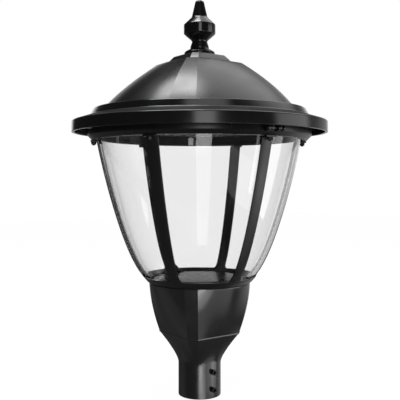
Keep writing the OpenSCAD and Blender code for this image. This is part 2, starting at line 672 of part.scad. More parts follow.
module roof_casting() color(BLACK) difference() {
    union() {
        difference() {
            union() {
                loft(concat([section_at(dome_r + 2.4, 1, dome_z - 3)], dome_sections(0, 0, 1)));
                rim_and_shoulder();
            }
            loft(concat(
                [section_at(dome_r - roof_wall - 0.6, 1, dome_z - 12)],
                dome_sections(roof_wall + 0.6, roof_wall + 1, 0)
            ));
        }
        tube(collar_r + 3, collar_r - 3, ring_top_z + 2.2, collar_top_z - ring_top_z - 2.2);
        around(6) translate([lug_r, 0, plate_top_z]) cylinder(r = 6, h = lug_h);
        around(6) translate([lug_r, -3, plate_top_z]) cube([9, 6, lug_h]);
        for (x = roof_ears) {
            at_hinge() along_x(ear_r, x[0], x[1]);
            box(x[0], x[1], -hinge_r - 4, -hinge_r + 4, hinge_z, slope_top_z - 6.5);
        }
        translate([0, latch_r, latch_boss_z]) cylinder(r = 8, h = slope_top_z - 6.8 - latch_boss_z);
    }
    translate([0, 0, dome_top_z - 20]) cylinder(r = stud_r + 0.4, h = 40);
    around(6) translate([lug_r, 0, plate_top_z - e]) cylinder(r = 1.8, h = 9);
    at_hinge() along_x(pin_r + running_gap, -30, 30);
    translate([0, latch_r, latch_boss_z - e])
        cylinder(r = latch_tip_r + 0.4, h = latch_tip_z + latch_tip_len + 1 + e - latch_boss_z);
}

// Cap, finial and the stud that clamps them to the roof
module roof_cap() color(BLACK) difference() {
    loft([section_at(cap_r, 0, dome_top_z, 1), section_at(cap_top_r, 0, cap_top_z, 1)]);
    loft([section_at(cap_r - 7, 0, dome_top_z - e, 1), section_at(cap_top_r - 7, 0, cap_top_z - 5, 1)]);
    translate([0, 0, dome_top_z]) cylinder(r = stud_r + 0.4, h = 40);
}
finial_z = cap_top_z;
module finial() color(BLACK) difference() {
    translate([0, 0, finial_z]) revolve([
        for (p = [
            [0, 0], [26, 0], [26, 3.7], [finial_foot_r, 3.7], [finial_foot_r - 0.6, 8.4],
            [finial_neck_r + 11.4, 11.1], [finial_neck_r + 4, 14.8], [finial_neck_r + 3, 16.5],
            [finial_neck_r + 2.9, 19.8], [finial_neck_r, 28.4], [finial_neck_r - 0.7, 30.4],
            [finial_neck_r + 0.1, 33], [finial_neck_r + 3, 36.2], [finial_neck_r + 9, 41],
            [finial_body_r, 48], [finial_body_r, 67], [finial_neck_r + 1, 82], [finial_neck_r - 0.2, 84],
            [finial_tip_r + 0.5, 111.8], [finial_tip_r, 114.8], [finial_tip_r - 1.5, 117.6],
            [finial_tip_r - 5.5, 119.6], [0, 120]
        ]) [p[0], p[1] * finial_h / 120]
    ]);
    translate([0, 0, finial_z - e]) cylinder(r = stud_r + 0.05, h = finial_h * 0.3);
}
nut_seat_z = dome_top_z - roof_wall - 1;
module finial_stud() color(STEEL) translate([0, 0, nut_seat_z - 18])
    cylinder(r = stud_r, h = finial_z + finial_h * 0.3 - 2 - nut_seat_z + 18);
module finial_nut() color(STEEL) {
    tube(stud_r * 2.2, stud_r + 0.05, nut_seat_z - 2, 2);
    translate([0, 0, nut_seat_z - 12]) difference() {
        cylinder(r = stud_r * 1.75, h = 10, $fn = 6);
        translate([0, 0, -e]) cylinder(r = stud_r + 0.05, h = 11);
    }
}

// Light plate, LED boards and lens sheets
fin_h = 16;
module light_plate() color(ALLOY) difference() {
    union() {
        translate([0, 0, plate_z]) cylinder(r = plate_r, h = plate_t);
        around(16, 11.25) box(118, plate_r - 22, -1.5, 1.5, plate_top_z - e, plate_top_z + fin_h);
    }
    around(6) translate([lug_r, 0, plate_z - e]) cylinder(r = 2.2, h = plate_t + 2 * e);
    translate([led_lead_x, led_lead_y, plate_z - e]) cylinder(r = lead_r + 0.8, h = plate_t + 2 * e);
    translate([0, socket_y, plate_z - e]) cylinder(r = lead_hole_r, h = plate_t + 2 * e);
}
module plate_screws() color(STEEL)
    around(6) translate([lug_r, 0, plate_z]) rotate([180, 0, 0]) screw(1.7, plate_t + 7, 3.5, 1.8);
board_at = board_w / 2 + 1;
driver_l = 2 * (board_at + board_w / 2 - driver_in);
module at_board(number) rotate([0, 0, 90 * number]) translate([board_at, board_at, 0]) children();
module board_holes(r, z, h) for (x = [-1, 1], y = [-1, 1])
    translate([x * (board_w / 2 - 4), y * (board_w / 2 - 4), z]) cylinder(r = r, h = h);
module led_board(number) color([0.9, 0.9, 0.86]) at_board(number) difference() {
    box(-board_w / 2, board_w / 2, -board_w / 2, board_w / 2, board_z, plate_z);
    board_holes(1.8, board_z - e, board_t + 2 * e);
}
lens_ball_r = (lens_r * lens_r + lens_h * lens_h) / (2 * lens_h);
lens_pitch = (board_w - 8) / lens_rows;
module lens_sheet(number) color([0.92, 0.9, 0.78, 0.6]) at_board(number) difference() {
    union() {
        box(-board_w / 2 + 1, board_w / 2 - 1, -board_w / 2 + 1, board_w / 2 - 1, sheet_z, board_z);
        for (i = [0:lens_rows - 1], j = [0:lens_rows - 1])
            translate([lens_pitch * (i - (lens_rows - 1) / 2), lens_pitch * (j - (lens_rows - 1) / 2), sheet_z + e])
                rotate([180, 0, 0]) rotate_extrude($fn = 32) polygon(concat(
                    [[0, 0], [lens_r, 0]],
                    [for (k = [0:4]) let (a = asin(lens_r / lens_ball_r) * (1 - k / 4))
                        [lens_ball_r * sin(a), lens_ball_r * cos(a) - lens_ball_r + lens_h + e]]
                ));
    }
    board_holes(1.8, sheet_z - e, sheet_t + 2 * e);
}
module sheet_screws() color(STEEL) for (number = [1:4]) at_board(number)
    for (x = [-1, 1], y = [-1, 1])
        translate([x * (board_w / 2 - 4), y * (board_w / 2 - 4), sheet_z]) rotate([180, 0, 0]) {
            translate([0, 0, -board_t - sheet_t]) cylinder(r = 1.5, h = board_t + sheet_t);
            cylinder(r = 2.8, h = 1.6);
        }

// Driver on top of the light plate, with its leads
led_lead_x = -15;
led_lead_y = driver_w / 2 + 16;
module driver() color([0.8, 0.8, 0.78]) difference() {
    union() {
        box(-driver_l / 2, driver_l / 2, -driver_w / 2, driver_w / 2, plate_top_z, plate_top_z + driver_h);
        box(-driver_l / 2 - 12, driver_l / 2 + 12, -12, 12, plate_top_z, plate_top_z + 3);
    }
    for (side = [-1, 1]) translate([side * (driver_l / 2 + 6), 0, plate_top_z - e]) cylinder(r = 2.4, h = 4);
}
module driver_screws() color(STEEL) for (side = [-1, 1])
    translate([side * (driver_l / 2 + 6), 0, plate_top_z + 3]) screw(2.2, 2.9, 4, 2.2);
module supply_plug() color(DARK) {
    box(-8, 8, socket_y - 5, socket_y + 5, socket_top_z + 0.6, plate_z);
    for (x = pin_places) translate([x, socket_y, socket_top_z - 7]) cylinder(r = 1.2, h = 8);
}
harness_z = plate_top_z + 26;
module supply_harness() color(DARK) lead([
    [0, socket_y, plate_z], [0, socket_y, plate_top_z], [0, socket_y, plate_top_z + 3],
    [0, socket_y, plate_top_z + 6], [4, socket_y - 10, plate_top_z + 18], [16, socket_y - 46, harness_z],
    [16, driver_w / 2 + 60, harness_z], [16, driver_w / 2 + 20, harness_z], [16, driver_w / 2, harness_z]
], lead_r, [1, 0, 0]);
module led_harness() color([0.55, 0.12, 0.1]) lead([
    [led_lead_x, driver_w / 2, plate_top_z + 20], [led_lead_x, driver_w / 2 + 3, plate_top_z + 20],
    [led_lead_x, driver_w / 2 + 6, plate_top_z + 20], [led_lead_x, led_lead_y - 2, plate_top_z + 15],
    [led_lead_x, led_lead_y, plate_top_z + 7], [led_lead_x, led_lead_y, plate_top_z + 3],
    [led_lead_x, led_lead_y, plate_z]
], lead_r, [1, 0, 0]);
module plate_grommet() color(SEAL) translate([0, socket_y, plate_top_z]) difference() {
    cylinder(r = grommet_r, h = 1.6);
    translate([0, 0, -e]) cylinder(r = lead_r + 0.1, h = 3);
}

base_casting();
set_screw(1);  // set_screw_1
set_screw(2);  // set_screw_2
set_screw(3);  // set_screw_3
set_screw(4);  // set_screw_4
gear_bracket();
bracket_screws();
terminal_block();
surge_protector();
ground_screw();
base_seal();
cage_ring();
cage_strap(1);  // cage_strap_1
cage_strap(2);  // cage_strap_2
cage_strap(3);  // cage_strap_3
cage_strap(4);  // cage_strap_4
cage_strap(5);  // cage_strap_5
cage_strap(6);  // cage_strap_6
ring_screws();
strap_screws();
base_cover();
cover_screws();
cover_grommet();
bowl_seat_seal();
bowl();
bowl_top_seal();
frame_ring();
bowl_clips();
clip_screws();
roof_seal();
hinge_pin();
latch_screw();
supply_socket();
supply_lead();
roof_casting();
roof_cap();
finial();
finial_stud();
finial_nut();
light_plate();
plate_screws();
led_board(1);  // led_board_1
led_board(2);  // led_board_2
led_board(3);  // led_board_3
led_board(4);  // led_board_4
lens_sheet(1);  // lens_sheet_1
lens_sheet(2);  // lens_sheet_2
lens_sheet(3);  // lens_sheet_3
lens_sheet(4);  // lens_sheet_4
sheet_screws();
driver();
driver_screws();
supply_plug();
supply_harness();
led_harness();
plate_grommet();
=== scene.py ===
# %% [markdown]
# # A post-top LED lantern
# The lantern is a black cast-aluminium roof and base with a clear acrylic bowl between them, held in a cage of six
# flat straps. The CAD model already has every piece in its real place and size, so this lesson dresses it: the large
# castings, the straps, the bowl, the plate in its floor and the lenses are made again as smooth surfaces, and every
# piece gets a finish.
# The camera comes first, because it decides which surfaces need the most care.

import bpy
import json
import math
import numpy as np
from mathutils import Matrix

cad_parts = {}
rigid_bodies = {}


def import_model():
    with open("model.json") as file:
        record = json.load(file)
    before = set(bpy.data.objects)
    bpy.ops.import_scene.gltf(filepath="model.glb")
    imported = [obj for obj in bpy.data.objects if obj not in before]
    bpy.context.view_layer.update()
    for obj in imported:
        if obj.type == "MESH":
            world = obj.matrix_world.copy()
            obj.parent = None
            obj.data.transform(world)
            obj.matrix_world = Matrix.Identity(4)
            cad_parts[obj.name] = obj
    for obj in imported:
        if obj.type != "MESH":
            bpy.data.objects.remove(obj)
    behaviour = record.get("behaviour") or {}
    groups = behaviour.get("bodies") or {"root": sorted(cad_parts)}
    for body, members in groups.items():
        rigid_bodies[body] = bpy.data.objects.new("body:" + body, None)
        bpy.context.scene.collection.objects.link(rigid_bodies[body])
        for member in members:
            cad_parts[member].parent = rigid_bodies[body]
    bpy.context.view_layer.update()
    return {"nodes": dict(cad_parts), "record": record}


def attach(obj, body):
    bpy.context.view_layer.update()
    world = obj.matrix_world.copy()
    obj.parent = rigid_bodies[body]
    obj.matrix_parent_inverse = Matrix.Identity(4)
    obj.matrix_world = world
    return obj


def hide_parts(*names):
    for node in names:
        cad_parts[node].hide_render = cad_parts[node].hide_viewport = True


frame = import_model()
nodes = frame["nodes"]

# %% [markdown]
# ## The camera
# A photograph of a product on a post is taken level, with the lens a little long. The distance and the height here
# were worked out from how round the rims look: the roof's rim is seen from slightly below, and the base's ledge from
# above. A small lens shift, as on a view camera, moves the picture so that upright lines stay upright.

# %% Camera
FACING = math.radians(-126)          # the direction from the lantern's axis to the camera
DISTANCE, EYE = 1.4423, 0.4533

camera_data = bpy.data.cameras.new("product_camera")
camera_data.sensor_width = 36
camera_data.lens = 60.86
camera_data.shift_x, camera_data.shift_y = 0.0010, -0.0488
camera_data.clip_end = 50
camera = bpy.data.objects.new("product_camera", camera_data)
bpy.context.scene.collection.objects.link(camera)
camera.location = (DISTANCE * math.cos(FACING), DISTANCE * math.sin(FACING), EYE)
camera.rotation_euler = (math.radians(90), 0, FACING + math.radians(90))
bpy.context.scene.camera = camera
print("camera at", [round(v, 3) for v in camera.location])

# %% [markdown]
# ## Skins over grids
# Every new piece is a grid of points that is worked out all at once, with numpy, and then covered by four-sided
# faces. Each row closes on itself, as around a tube, and the rows may close too, as on a ring. Where a shape ends in
# a point or a flat end, a fan of triangles closes it. The alternative, adding vertices one by one, is far slower and
# hides the formula that makes the shape.

# %% A skin
MM = 0.001


def sharp_edges(mesh):
    """Which edges are drawn sharp, as an array of true and false."""
    if "sharp_edge" not in mesh.attributes:
        mesh.attributes.new("sharp_edge", "BOOLEAN", "EDGE")
    flags = np.zeros(len(mesh.edges), bool)
    mesh.attributes["sharp_edge"].data.foreach_get("value", flags)
    return flags


def skin(name, grid, rows_close=False, first_pole=None, last_pole=None, crease=40, sharp=None):
    """Faces over grid[row, column]: each joins a point to the next column and the next row. The columns close on
    themselves. A pole is a point that the first or the last row is joined to by a fan. Edges that bend by more than
    the crease are drawn sharp, and so are those up a column wherever sharp[row, column] is true."""
    rows, columns = grid.shape[:2]
    i = np.arange(rows if rows_close else rows - 1)[:, None]
    j = np.arange(columns)[None, :]
    i2, j2 = (i + 1) % rows, (j + 1) % columns
    quads = np.stack(np.broadcast_arrays(i * columns + j, i * columns + j2, i2 * columns + j2, i2 * columns + j), -1)
    points = [grid.reshape(-1, 3)]
    corners, sizes = [quads.ravel()], [np.full(quads.size // 4, 4)]
    j, j2 = np.arange(columns), (np.arange(columns) + 1) % columns
    for pole, row, flip in ((first_pole, 0, True), (last_pole, rows - 1, False)):
        if pole is not None:
            tip = np.full(columns, sum(len(p) for p in points))
            points.append(np.array([pole], float))
            a, b = row * columns + j, row * columns + j2
            fan = np.stack([tip, b, a] if flip else [tip, a, b], -1)
            corners.append(fan.ravel())
            sizes.append(np.full(columns, 3))
    points, corners, sizes = np.concatenate(points) * MM, np.concatenate(corners), np.concatenate(sizes)
    mesh = bpy.data.meshes.new(name)
    mesh.vertices.add(len(points))
    mesh.vertices.foreach_set("co", points.astype(np.float32).ravel())
    mesh.loops.add(len(corners))
    mesh.loops.foreach_set("vertex_index", corners.astype(np.int32))
    mesh.polygons.add(len(sizes))
    mesh.polygons.foreach_set("loop_start", np.concatenate([[0], np.cumsum(sizes)[:-1]]).astype(np.int32))
    mesh.update(calc_edges=True)
    mesh.validate()
    mesh.shade_smooth()
    mesh.set_sharp_from_angle(angle=math.radians(crease))
    if sharp is not None:
        ends = np.zeros(len(mesh.edges) * 2, np.int32)
        mesh.edges.foreach_get("vertices", ends)
        ends = ends.reshape(-1, 2)
        marked = np.zeros(len(points), bool)
        marked[:rows * columns] = sharp.ravel()
        one_column = (ends < rows * columns).all(1) & (ends[:, 0] % columns == ends[:, 1] % columns)
        along = one_column & marked[ends].all(1)
        flags = sharp_edges(mesh) | along
        mesh.attributes["sharp_edge"].data.foreach_set("value", flags)
    piece = bpy.data.objects.new(name, mesh)
    bpy.context.scene.collection.objects.link(piece)
    return piece


# %% [markdown]
# ## Corners that catch the light
# No real edge is perfectly sharp. On a casting it is rounded by a millimetre or two, and that thin band is what draws
# the bright line along it. Rounding each outline before it is turned or carried gives the edge its own faces, and
# costs nothing later. A Bevel modifier would find these edges as well, but not with a radius for each.

# %% Rounded outlines
def soften(outline, radius, steps=4, closed=True):
    """Each corner P becomes the curve (1-t)^2 A + 2t(1-t) P + t^2 B, where A and B lie on its two edges, as far from
    P as the radius, or 0.45 of the edge where that is shorter."""
    points = np.asarray(outline, float)
    radius = np.broadcast_to(np.asarray(radius, float), len(points)).copy()
    if not closed:
        radius[[0, -1]] = 0
    before, after = np.roll(points, 1, 0) - points, np.roll(points, -1, 0) - points

    def share(edge):
        """The radius as a share of the edge, at most 0.45."""
        length = np.maximum(np.linalg.norm(edge[:, :2], axis=1), 1e-9)
        return np.minimum(radius / length, 0.45)[:, None]

    a, b = points + before * share(before), points + after * share(after)
    t = np.linspace(0, 1, steps + 1)[None, :, None]
    curve = (1 - t) ** 2 * a[:, None] + 2 * t * (1 - t) * points[:, None] + t ** 2 * b[:, None]
    curve = curve.reshape(-1, points.shape[1])
    step = np.linalg.norm(curve - np.roll(curve, 1, 0), axis=1)
    return curve[step > 1e-6]


def turned(outline, columns=144):
    """A point (r, z) of the outline goes round the axis: (r cos a, r sin a, z)."""
    a = np.linspace(0, 2 * math.pi, columns, endpoint=False)
    r, z = outline[:, :1], outline[:, 1:2]
    return np.stack([r * np.cos(a), r * np.sin(a), np.broadcast_to(z, (len(outline), columns))], -1)


print("rounded corner test:", len(soften([[0, 0], [10, 0], [10, 10], [0, 10]], 1.0)), "points")

# %% [markdown]
# ## Holes across a piece
# The set screws and the hinge pin move in round holes that lie across their castings, where no row or column of a
# grid can follow. A Boolean cuts them after the skin is made. It keeps the edges that were marked sharp, and the rims
# of the holes are then marked by their angle.

# %% Drilled holes
def drill(piece, axis, spots, radius, reach, crease=45):
    """Cuts a round hole through each point (x, y, z), along X (axis 0) or Y (axis 1), so far to both sides of it."""
    rod = np.roll(turned(np.array([[radius, -reach], [radius, reach]]), 64), 1 + axis, axis=-1)
    for spot in spots:
        ends = rod[0].mean(0) + spot, rod[-1].mean(0) + spot
        cutter = skin("cutter", rod + spot, first_pole=ends[0], last_pole=ends[1])
        cut = piece.modifiers.new("hole", "BOOLEAN")
        cut.operation, cut.solver, cut.object = "DIFFERENCE", "EXACT", cutter
        bpy.context.view_layer.objects.active = piece
        bpy.ops.object.modifier_apply(modifier=cut.name)
        bpy.data.objects.remove(cutter)
    mesh = piece.data
    kept = sharp_edges(mesh)
    mesh.set_sharp_from_angle(angle=math.radians(crease))
    drawn = kept | sharp_edges(mesh)
    mesh.attributes["sharp_edge"].data.foreach_set("value", drawn)
    print("drilled", piece.name, "sharp edges kept:", kept.sum(), "in all:", drawn.sum())


# %% [markdown]
# ## Sizes
# The scene can't read the CAD source, so the sizes that the new surfaces need are repeated here in millimetres. The
# bowl, the straps and the cage ring all follow one curve, which leans out with height and curls out near its foot.

# %% Sizes shared by the pieces
TUBE_R, BORE_R, STOP_Z, SHELF_TOP, WIRE_R = 45.0, 39.25, 76.0, 84.0, 28.0
SET_SCREW_Z, SET_SCREW_R, PIN_R, RUNNING_GAP = (18.6, 55.0), 5.5, 2.5, 0.06
FLARE_Z, LEDGE_Z, BASE_TOP = 64.0, 132.0, 238.0
LEDGE_R, BASE_R, WALL, FLARE_WALL = 85.2, 107.2, 6.0, 9.0
CAGE_Z, RING_Z = 239.5, 537.5
CAGE_FOOT_R, LEAN, EASE, CURL, CURL_H = 109.7, 0.399, 0.00034, 18.9, 33.8
LIP_H, EAR_H, FLOOR_H, FLOOR_R = 12.5, 22.5, 3.5, 86.0
STRAP_T, BOWL_GAP, BOWL_T = 3.2, 0.3, 4.5
RIM_R, RIM_Z, RIM_TOP = 269.1, 553.4, 576.1
SLOPE_R, SLOPE_TOP = 231.7, 587.5
SHOULDER_R, DOME_Z = 223.4, 602.6
DOME_R, DOME_TOP_R, DOME_TOP = 203.4, 91.0, 700.1
RIM_WALL, DOME_WALL, TOP_WALL, STUD_HOLE_R = 5.5, 5.6, 6.0, 6.4
CAP_TOP = 717.6
BOARD_AT, PITCH, EMITTER_HALF = 49.0, 22.0, 2.8


def cage_r(h):
    """Outer radius of the cage at h above the cage ring's foot: a lean that eases off, plus a curl that fades."""
    return CAGE_FOOT_R + LEAN * h - EASE * h ** 2 + CURL * (1 - np.exp(-h / CURL_H))


def cage_slope(h):
    """How fast that radius grows with height: the derivative of the curve above."""
    return LEAN - 2 * EASE * h + CURL / CURL_H * np.exp(-h / CURL_H)


def inset_r(h, depth):
    """Radius at the same height, at a depth measured square to the curve."""
    return cage_r(h) - depth * np.sqrt(1 + cage_slope(h) ** 2)


print("strap radius at its foot and head:", cage_r(np.array([EAR_H, RING_Z - CAGE_Z])).round(1))

# %% [markdown]
# ## The castings' section
# Seen from above, the dome and the base are squares with cut corners, whose wide faces swell out until they lie on a
# circle. The cut corners stay narrow flat facets, except where a casting is round all the way, such as at its rim.
# One function gives the radius in every direction, so the same rule serves the outside and the inside of both
# castings.

# %% Section of the castings
QUARTER, HALF_QUARTER = math.pi / 2, math.pi / 4
CORNER = math.radians(7.2)
FACE = HALF_QUARTER - CORNER
ROUND = 1.1                          # a swell over 1 takes the corner facets away too


def casting_angles(across_face=44, across_corner=8):
    """Directions of the grid's columns: even steps over each face and each corner, with a column on every edge."""
    face = np.linspace(-FACE, FACE, across_face, endpoint=False)
    corner = np.linspace(FACE, FACE + 2 * CORNER, across_corner, endpoint=False)
    return (np.concatenate([face, corner])[None] + np.arange(4)[:, None] * QUARTER).ravel()


def off_face(angle):
    """A direction as its angle from the middle of the nearest face."""
    return (angle + HALF_QUARTER) % QUARTER - HALF_QUARTER


def casting_section(angle, swell):
    """Share of the corner radius in a direction. On a face: (1-s) cos(half face) / cos(a) + s. On a corner facet: the
    same with the facet's own half angle, and a swell that only starts once s passes 1, for parts that are round."""
    a = off_face(angle)
    face = (1 - swell) * math.cos(FACE) / np.cos(a) + swell
    face = np.where(swell > 1, 1, face)
    late = np.clip((swell - 1) / (ROUND - 1), 0, 1)
    facet = (1 - late) * math.cos(CORNER) / np.cos(HALF_QUARTER - np.abs(a)) + late
    return np.where(np.abs(a) <= FACE + 1e-9, face, facet)


def cast_grid(outline):
    """Rows of (corner radius, height, swell) become rings: x, y from the section in each direction, z the height."""
    a = casting_angles()[None]
    r = outline[:, :1] * casting_section(a, outline[:, 2:3])
    return np.stack([r * np.cos(a), r * np.sin(a), np.broadcast_to(outline[:, 1:2], r.shape)], -1)


def corner_lines(outline):
    """The grid points on the edges of the corner facets, at rows that have facets. Where the swell is 1, only the
    facet's right edge counts."""
    side = off_face(casting_angles())
    right_edge, left_edge = np.isclose(side, -FACE), np.isclose(side, FACE)
    swell = outline[:, 2:3]
    return (swell <= 1) & (right_edge[None] | (left_edge[None] & (swell < 1)))


print("columns round a casting:", len(casting_angles()))

# %% [markdown]
# ## Finishes
# Powder coat on a casting is black with a low sheen, and hardly pebbled. The pebbling is a very weak bump from noise
# of one to two millimetres, and slow noise changes the sheen over a few centimetres, as real paint does. The pattern
# reads Object coordinates: these pieces never bend, so it stays where it is.

# %% Helpers for finishes
def finish(name, color, roughness, metallic=0.0, **sockets):
    """A new Principled material. The values that are the same all over go straight into the shader's sockets."""
    material = bpy.data.materials.new(name)
    material.use_nodes = True
    shader = material.node_tree.nodes["Principled BSDF"]
    shader.inputs["Base Color"].default_value = (*color, 1)
    shader.inputs["Roughness"].default_value = roughness
    shader.inputs["Metallic"].default_value = metallic
    for socket, value in sockets.items():
        shader.inputs[socket.replace("_", " ")].default_value = value
    return material


def add(material, kind, **values):
    """A node with its sockets set by name."""
    node = material.node_tree.nodes.new(kind)
    for key, value in values.items():
        node.inputs[key.replace("_", " ")].default_value = value
    return node


def wire(material, out_node, out_name, in_node, in_name):
    """Joins two sockets."""
    material.node_tree.links.new(out_node.outputs[out_name], in_node.inputs[in_name])


def maths(tree, kind, a, b):
    """A Math node on two sockets or numbers."""
    node = tree.nodes.new("ShaderNodeMath")
    node.operation = kind
    for k, value in enumerate((a, b)):
        if isinstance(value, (int, float)):
            node.inputs[k].default_value = value
        else:
            tree.links.new(value, node.inputs[k])
    return node.outputs[0]


def place_xyz(tree):
    """The three sockets of a point's Object coordinates."""
    place, split = tree.nodes.new("ShaderNodeTexCoord"), tree.nodes.new("ShaderNodeSeparateXYZ")
    tree.links.new(place.outputs["Object"], split.inputs[0])
    return split.outputs


def noise(material, per_metre, detail=2.0, stretch=(1, 1, 1)):
    """Noise on Object coordinates with so many lumps in a metre, pulled out along an axis if asked."""
    place = add(material, "ShaderNodeTexCoord")
    scale = add(material, "ShaderNodeMapping")
    scale.inputs["Scale"].default_value = stretch
    lumps = add(material, "ShaderNodeTexNoise", Scale=per_metre, Detail=detail)
    wire(material, place, "Object", scale, "Vector")
    wire(material, scale, "Vector", lumps, "Vector")
    return lumps


def vary(material, pattern, socket, low, high):
    """The pattern from 0.3 to 0.7 becomes a value from low to high."""
    span = add(material, "ShaderNodeMapRange", From_Min=0.3, From_Max=0.7, To_Min=low, To_Max=high)
    shader = material.node_tree.nodes["Principled BSDF"]
    wire(material, pattern, "Fac", span, "Value")
    wire(material, span, "Result", shader, socket)


def tint(material, pattern, dark, light):
    """The pattern from 0.3 to 0.7 becomes a colour between two."""
    ramp = material.node_tree.nodes.new("ShaderNodeValToRGB")
    ramp.color_ramp.elements[0].position, ramp.color_ramp.elements[1].position = 0.3, 0.7
    ramp.color_ramp.elements[0].color, ramp.color_ramp.elements[1].color = (*dark, 1), (*light, 1)
    wire(material, pattern, "Fac", ramp, "Fac")
    wire(material, ramp, "Color", material.node_tree.nodes["Principled BSDF"], "Base Color")


def dent(material, pattern, strength, depth):
    """The pattern as a bump: depth in metres from its lowest to its highest."""
    bump = add(material, "ShaderNodeBump", Strength=strength, Distance=depth)
    wire(material, pattern, "Fac", bump, "Height")
    wire(material, bump, "Normal", material.node_tree.nodes["Principled BSDF"], "Normal")


# %% Black finishes
def black_coat(name, roughness, grain=700, depth=0.00025, ior=1.5):
    """Powder coat: nearly black, with so many pebbles in a metre, and a slow change of tone and sheen."""
    coat = finish(name, (0.005, 0.005, 0.0055), roughness, IOR=ior)
    tint(coat, noise(coat, 14), (0.0042, 0.0042, 0.0048), (0.0060, 0.0060, 0.0066))
    vary(coat, noise(coat, 22, 3), "Roughness", roughness - 0.04, roughness + 0.04)
    dent(coat, noise(coat, grain, 2), 0.004, depth)
    return coat


def shift_below(coat, socket, low, high, by):
    """Adds an amount to a socket below a height, fading out from low to high in metres."""
    tree = coat.node_tree
    target = tree.nodes["Principled BSDF"].inputs[socket]
    before = target.links[0].from_socket if target.is_linked else target.default_value
    span = add(coat, "ShaderNodeMapRange", From_Min=low, From_Max=high, To_Min=by, To_Max=0.0)
    tree.links.new(place_xyz(tree)["Z"], span.inputs["Value"])
    tree.links.new(maths(tree, "ADD", before, span.outputs["Result"]), target)


cast_coat = black_coat("powder_coat_on_casting", 0.30)
roof_coat = black_coat("powder_coat_on_roof", 0.30)
# the coat is smoother on the shoulder and the rim, and dull on the slope between them
SHOULDER_FADE, SLOPE_FADE, RIM_FADE = (0.601, 0.606), (0.5865, 0.5885), (0.576, 0.578)
for socket, fade, by in (("Roughness", SHOULDER_FADE, -0.12), ("Roughness", SLOPE_FADE, 0.42),
                         ("Roughness", RIM_FADE, -0.42), ("Specular IOR Level", SLOPE_FADE, -0.4),
                         ("Specular IOR Level", RIM_FADE, 0.4)):
    shift_below(roof_coat, socket, *fade, by)
finial_coat = black_coat("gloss_coat_on_finial", 0.17)
base_coat = black_coat("gloss_coat_on_base", 0.23, ior=1.8)
bar_coat = black_coat("powder_coat_on_bar", 0.34, 1100, 0.00012)
sheet_coat = black_coat("satin_paint_on_sheet", 0.28, 1400, 0.00008)
oxide_steel = finish("black_oxide_steel", (0.02, 0.02, 0.022), 0.38, 0.7)
vary(oxide_steel, noise(oxide_steel, 500, 3), "Roughness", 0.3, 0.46)
moulded_black = finish("moulded_black_plastic", (0.012, 0.012, 0.013), 0.5)
dent(moulded_black, noise(moulded_black, 1600, 2), 0.3, 0.0001)
print("black finishes:", cast_coat.name, bar_coat.name, sheet_coat.name)

# %% [markdown]
# ## Clear acrylic
# The bowl is 4.5 mm of clear acrylic. Full transmission with the plastic's own refractive index gives the reflections
# and the darker edges for free. A solid wall with an inside and an outside bends light in and out as the real one
# does; a single sheet would act as a solid block of glass.

# %% Clear and bright finishes
acrylic = finish("clear_acrylic", (0.975, 0.975, 0.975), 0.012, IOR=1.49, Transmission_Weight=1.0)
vary(acrylic, noise(acrylic, 5, 1), "Roughness", 0.004, 0.02)
optic = finish("moulded_optic", (0.86, 0.84, 0.76), 0.12, IOR=1.49, Transmission_Weight=0.9)
dent(optic, noise(optic, 500, 2), 0.1, 0.0002)
plain_steel = finish("stainless_steel", (0.55, 0.56, 0.57), 0.3, 1.0)
vary(plain_steel, noise(plain_steel, 600, 3), "Roughness", 0.24, 0.38)
raw_aluminium = finish("brushed_aluminium", (0.62, 0.63, 0.64), 0.36, 1.0)
BRUSHED = (40, 1, 1)
vary(raw_aluminium, noise(raw_aluminium, 60, 4, BRUSHED), "Roughness", 0.28, 0.46)
dent(raw_aluminium, noise(raw_aluminium, 60, 4, BRUSHED), 0.2, 0.0001)
sponge_rubber = finish("sponge_rubber", (0.02, 0.02, 0.021), 0.85)
dent(sponge_rubber, noise(sponge_rubber, 900, 4), 0.6, 0.0004)
driver_paint = finish("driver_paint", (0.55, 0.55, 0.53), 0.4)
dent(driver_paint, noise(driver_paint, 1200, 3), 0.2, 0.0001)
ivory_plastic = finish("ivory_plastic", (0.62, 0.61, 0.55), 0.42)
dent(ivory_plastic, noise(ivory_plastic, 900, 2), 0.2, 0.0001)
red_case = finish("dark_red_case", (0.17, 0.012, 0.01), 0.4)
dent(red_case, noise(red_case, 900, 2), 0.2, 0.0001)
green_paint = finish("green_paint", (0.01, 0.12, 0.025), 0.4)
vary(green_paint, noise(green_paint, 700, 2), "Roughness", 0.32, 0.48)
black_sheath = finish("black_cable_sheath", (0.014, 0.014, 0.015), 0.48)
vary(black_sheath, noise(black_sheath, 300, 2), "Roughness", 0.4, 0.56)
red_sheath = finish("red_cable_sheath", (0.24, 0.012, 0.01), 0.45)
vary(red_sheath, noise(red_sheath, 300, 2), "Roughness", 0.38, 0.52)
print("finishes so far:", len(bpy.data.materials))

# %% [markdown]
# ## LED boards
# Each board is pale solder mask with sixteen yellow emitters, one under each lens. A square pattern needs no texture:
# the distance to the nearest point of a 22 mm grid, measured along the longer of two axes, makes squares, and a
# threshold turns them into emitters.

# %% Emitter pattern
board_mask = finish("white_solder_mask", (0.4, 0.4, 0.37), 0.35)


